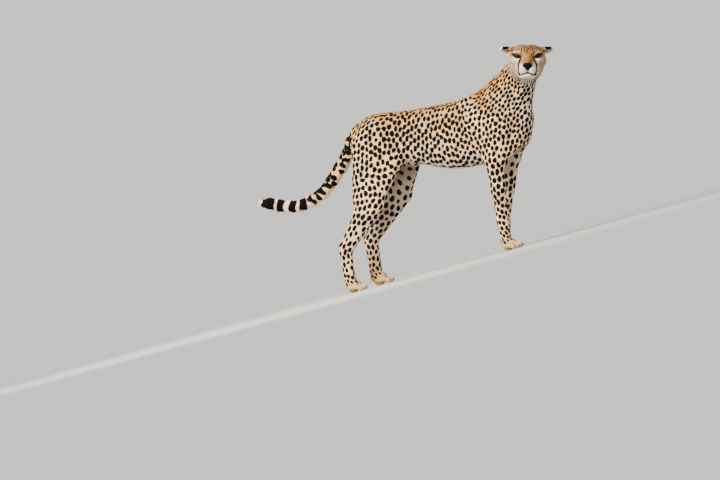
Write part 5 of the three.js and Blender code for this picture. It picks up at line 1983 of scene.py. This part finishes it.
class CHEETAH_OT_stage(bpy.types.Operator):
    """A plain pale floor, soft lights and the camera"""

    bl_idname = "cheetah.stage"
    bl_label = "Floor, lights and camera"

    def execute(self, context):
        look = context.scene.cheetah_stage
        s = Shader("Pale_floor")
        where = s.add("ShaderNodeTexCoord").outputs["Object"]
        flat = s.add("ShaderNodeVectorMath", operation="LENGTH")
        s.link(where, flat.inputs[0])
        far = s.add("ShaderNodeMapRange", interpolation_type="SMOOTHSTEP")
        far.inputs["From Min"].default_value, far.inputs["From Max"].default_value = FLOOR_FADE
        s.link(flat.outputs["Value"], far.inputs["Value"])
        s.colour(s.mixed(s.noise(6.0), np.array(look.floor), np.array(look.floor) * 0.96))
        s.set(Roughness=0.8, Specular_IOR_Level=0.1)
        glow = s.add("ShaderNodeEmission")
        glow.inputs["Color"].default_value = (*look.backdrop, 1)
        glow.inputs["Strength"].default_value = look.brightness
        blend = s.add("ShaderNodeMixShader")
        s.link(far.outputs[0], blend.inputs[0])
        s.link(s.bsdf.outputs[0], blend.inputs[1])
        s.link(glow.outputs[0], blend.inputs[2])
        s.link(blend.outputs[0], s.nodes["Material Output"].inputs["Surface"])
        corners = np.array([(-1, -1, 0), (1, -1, 0), (1, 1, 0), (-1, 1, 0)]) * FLOOR_REACH
        floor = mesh_piece("floor", corners, np.array([(0, 1, 2, 3)]), s.material, smooth=False)
        floor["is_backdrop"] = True
        world = bpy.data.worlds.new("Pale")
        world.use_nodes = True
        sky = world.node_tree.nodes["Background"]
        sky.inputs["Color"].default_value = (*look.backdrop, 1)
        sky.inputs["Strength"].default_value = look.brightness
        context.scene.world = world
        for name, settings in LIGHTS.items():
            area_light(name, *settings)
        self.camera(context, look)
        return {"FINISHED"}

    def camera(self, context, look):
        a, roll = look.azimuth, look.roll
        right, up, back = vec(math.cos(a), math.sin(a), 0), UP, vec(math.sin(a), -math.cos(a), 0)
        aim = right * AIM[0] + up * AIM[1] + BODY_AT * MM
        x = math.cos(roll) * right - math.sin(roll) * up
        y = math.sin(roll) * right + math.cos(roll) * up
        data = bpy.data.cameras.new("Camera")
        data.sensor_width, data.clip_end = 36.0, 200.0
        data.lens = data.sensor_width * look.distance / look.frame_width
        camera = bpy.data.objects.new("Camera", data)
        at = aim + back * look.distance
        rows = [[x[i], y[i], back[i], at[i]] for i in range(3)] + [[0, 0, 0, 1]]
        camera.matrix_world = Matrix(rows)
        context.scene.collection.objects.link(camera)
        context.scene.camera = camera


class CHEETAH_PT_panel(bpy.types.Panel):
    """Lists the pieces of the cheetah in the sidebar"""

    bl_label = "Cheetah"
    bl_idname = "CHEETAH_PT_panel"
    bl_space_type = "VIEW_3D"
    bl_region_type = "UI"
    bl_category = "Cheetah"

    def draw(self, context):
        for group in GROUPS:
            settings = getattr(context.scene, group)
            for name in settings.__annotations__:
                self.layout.prop(settings, name)
        for operator in OPERATORS:
            self.layout.operator(operator.bl_idname)


OPERATORS = (
    CHEETAH_OT_skin,
    CHEETAH_OT_coat,
    CHEETAH_OT_eyes,
    CHEETAH_OT_nose,
    CHEETAH_OT_claws,
    CHEETAH_OT_whiskers,
    CHEETAH_OT_stage,
)
GROUPS = {
    "cheetah_coat": CheetahCoat,
    "cheetah_eyes": CheetahEyes,
    "cheetah_details": CheetahDetails,
    "cheetah_stage": CheetahStage,
}


def register():
    for kind in (*GROUPS.values(), *OPERATORS, CHEETAH_PT_panel):
        bpy.utils.register_class(kind)
    for name, kind in GROUPS.items():
        setattr(bpy.types.Scene, name, bpy.props.PointerProperty(type=kind))


def unregister():
    for name in GROUPS:
        delattr(bpy.types.Scene, name)
    for kind in (CHEETAH_PT_panel, *reversed(OPERATORS), *reversed(GROUPS.values())):
        bpy.utils.unregister_class(kind)


def main():
    register()
    for operator in OPERATORS:
        name = operator.bl_idname.split(".")[1]
        getattr(bpy.ops.cheetah, name)()
    boxes = {"cad": CAD_BOX, "visual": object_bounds()}
    {key: [list(map(float, corner)) for corner in box] for key, box in boxes.items()}


if __name__ == "__main__":
    main()
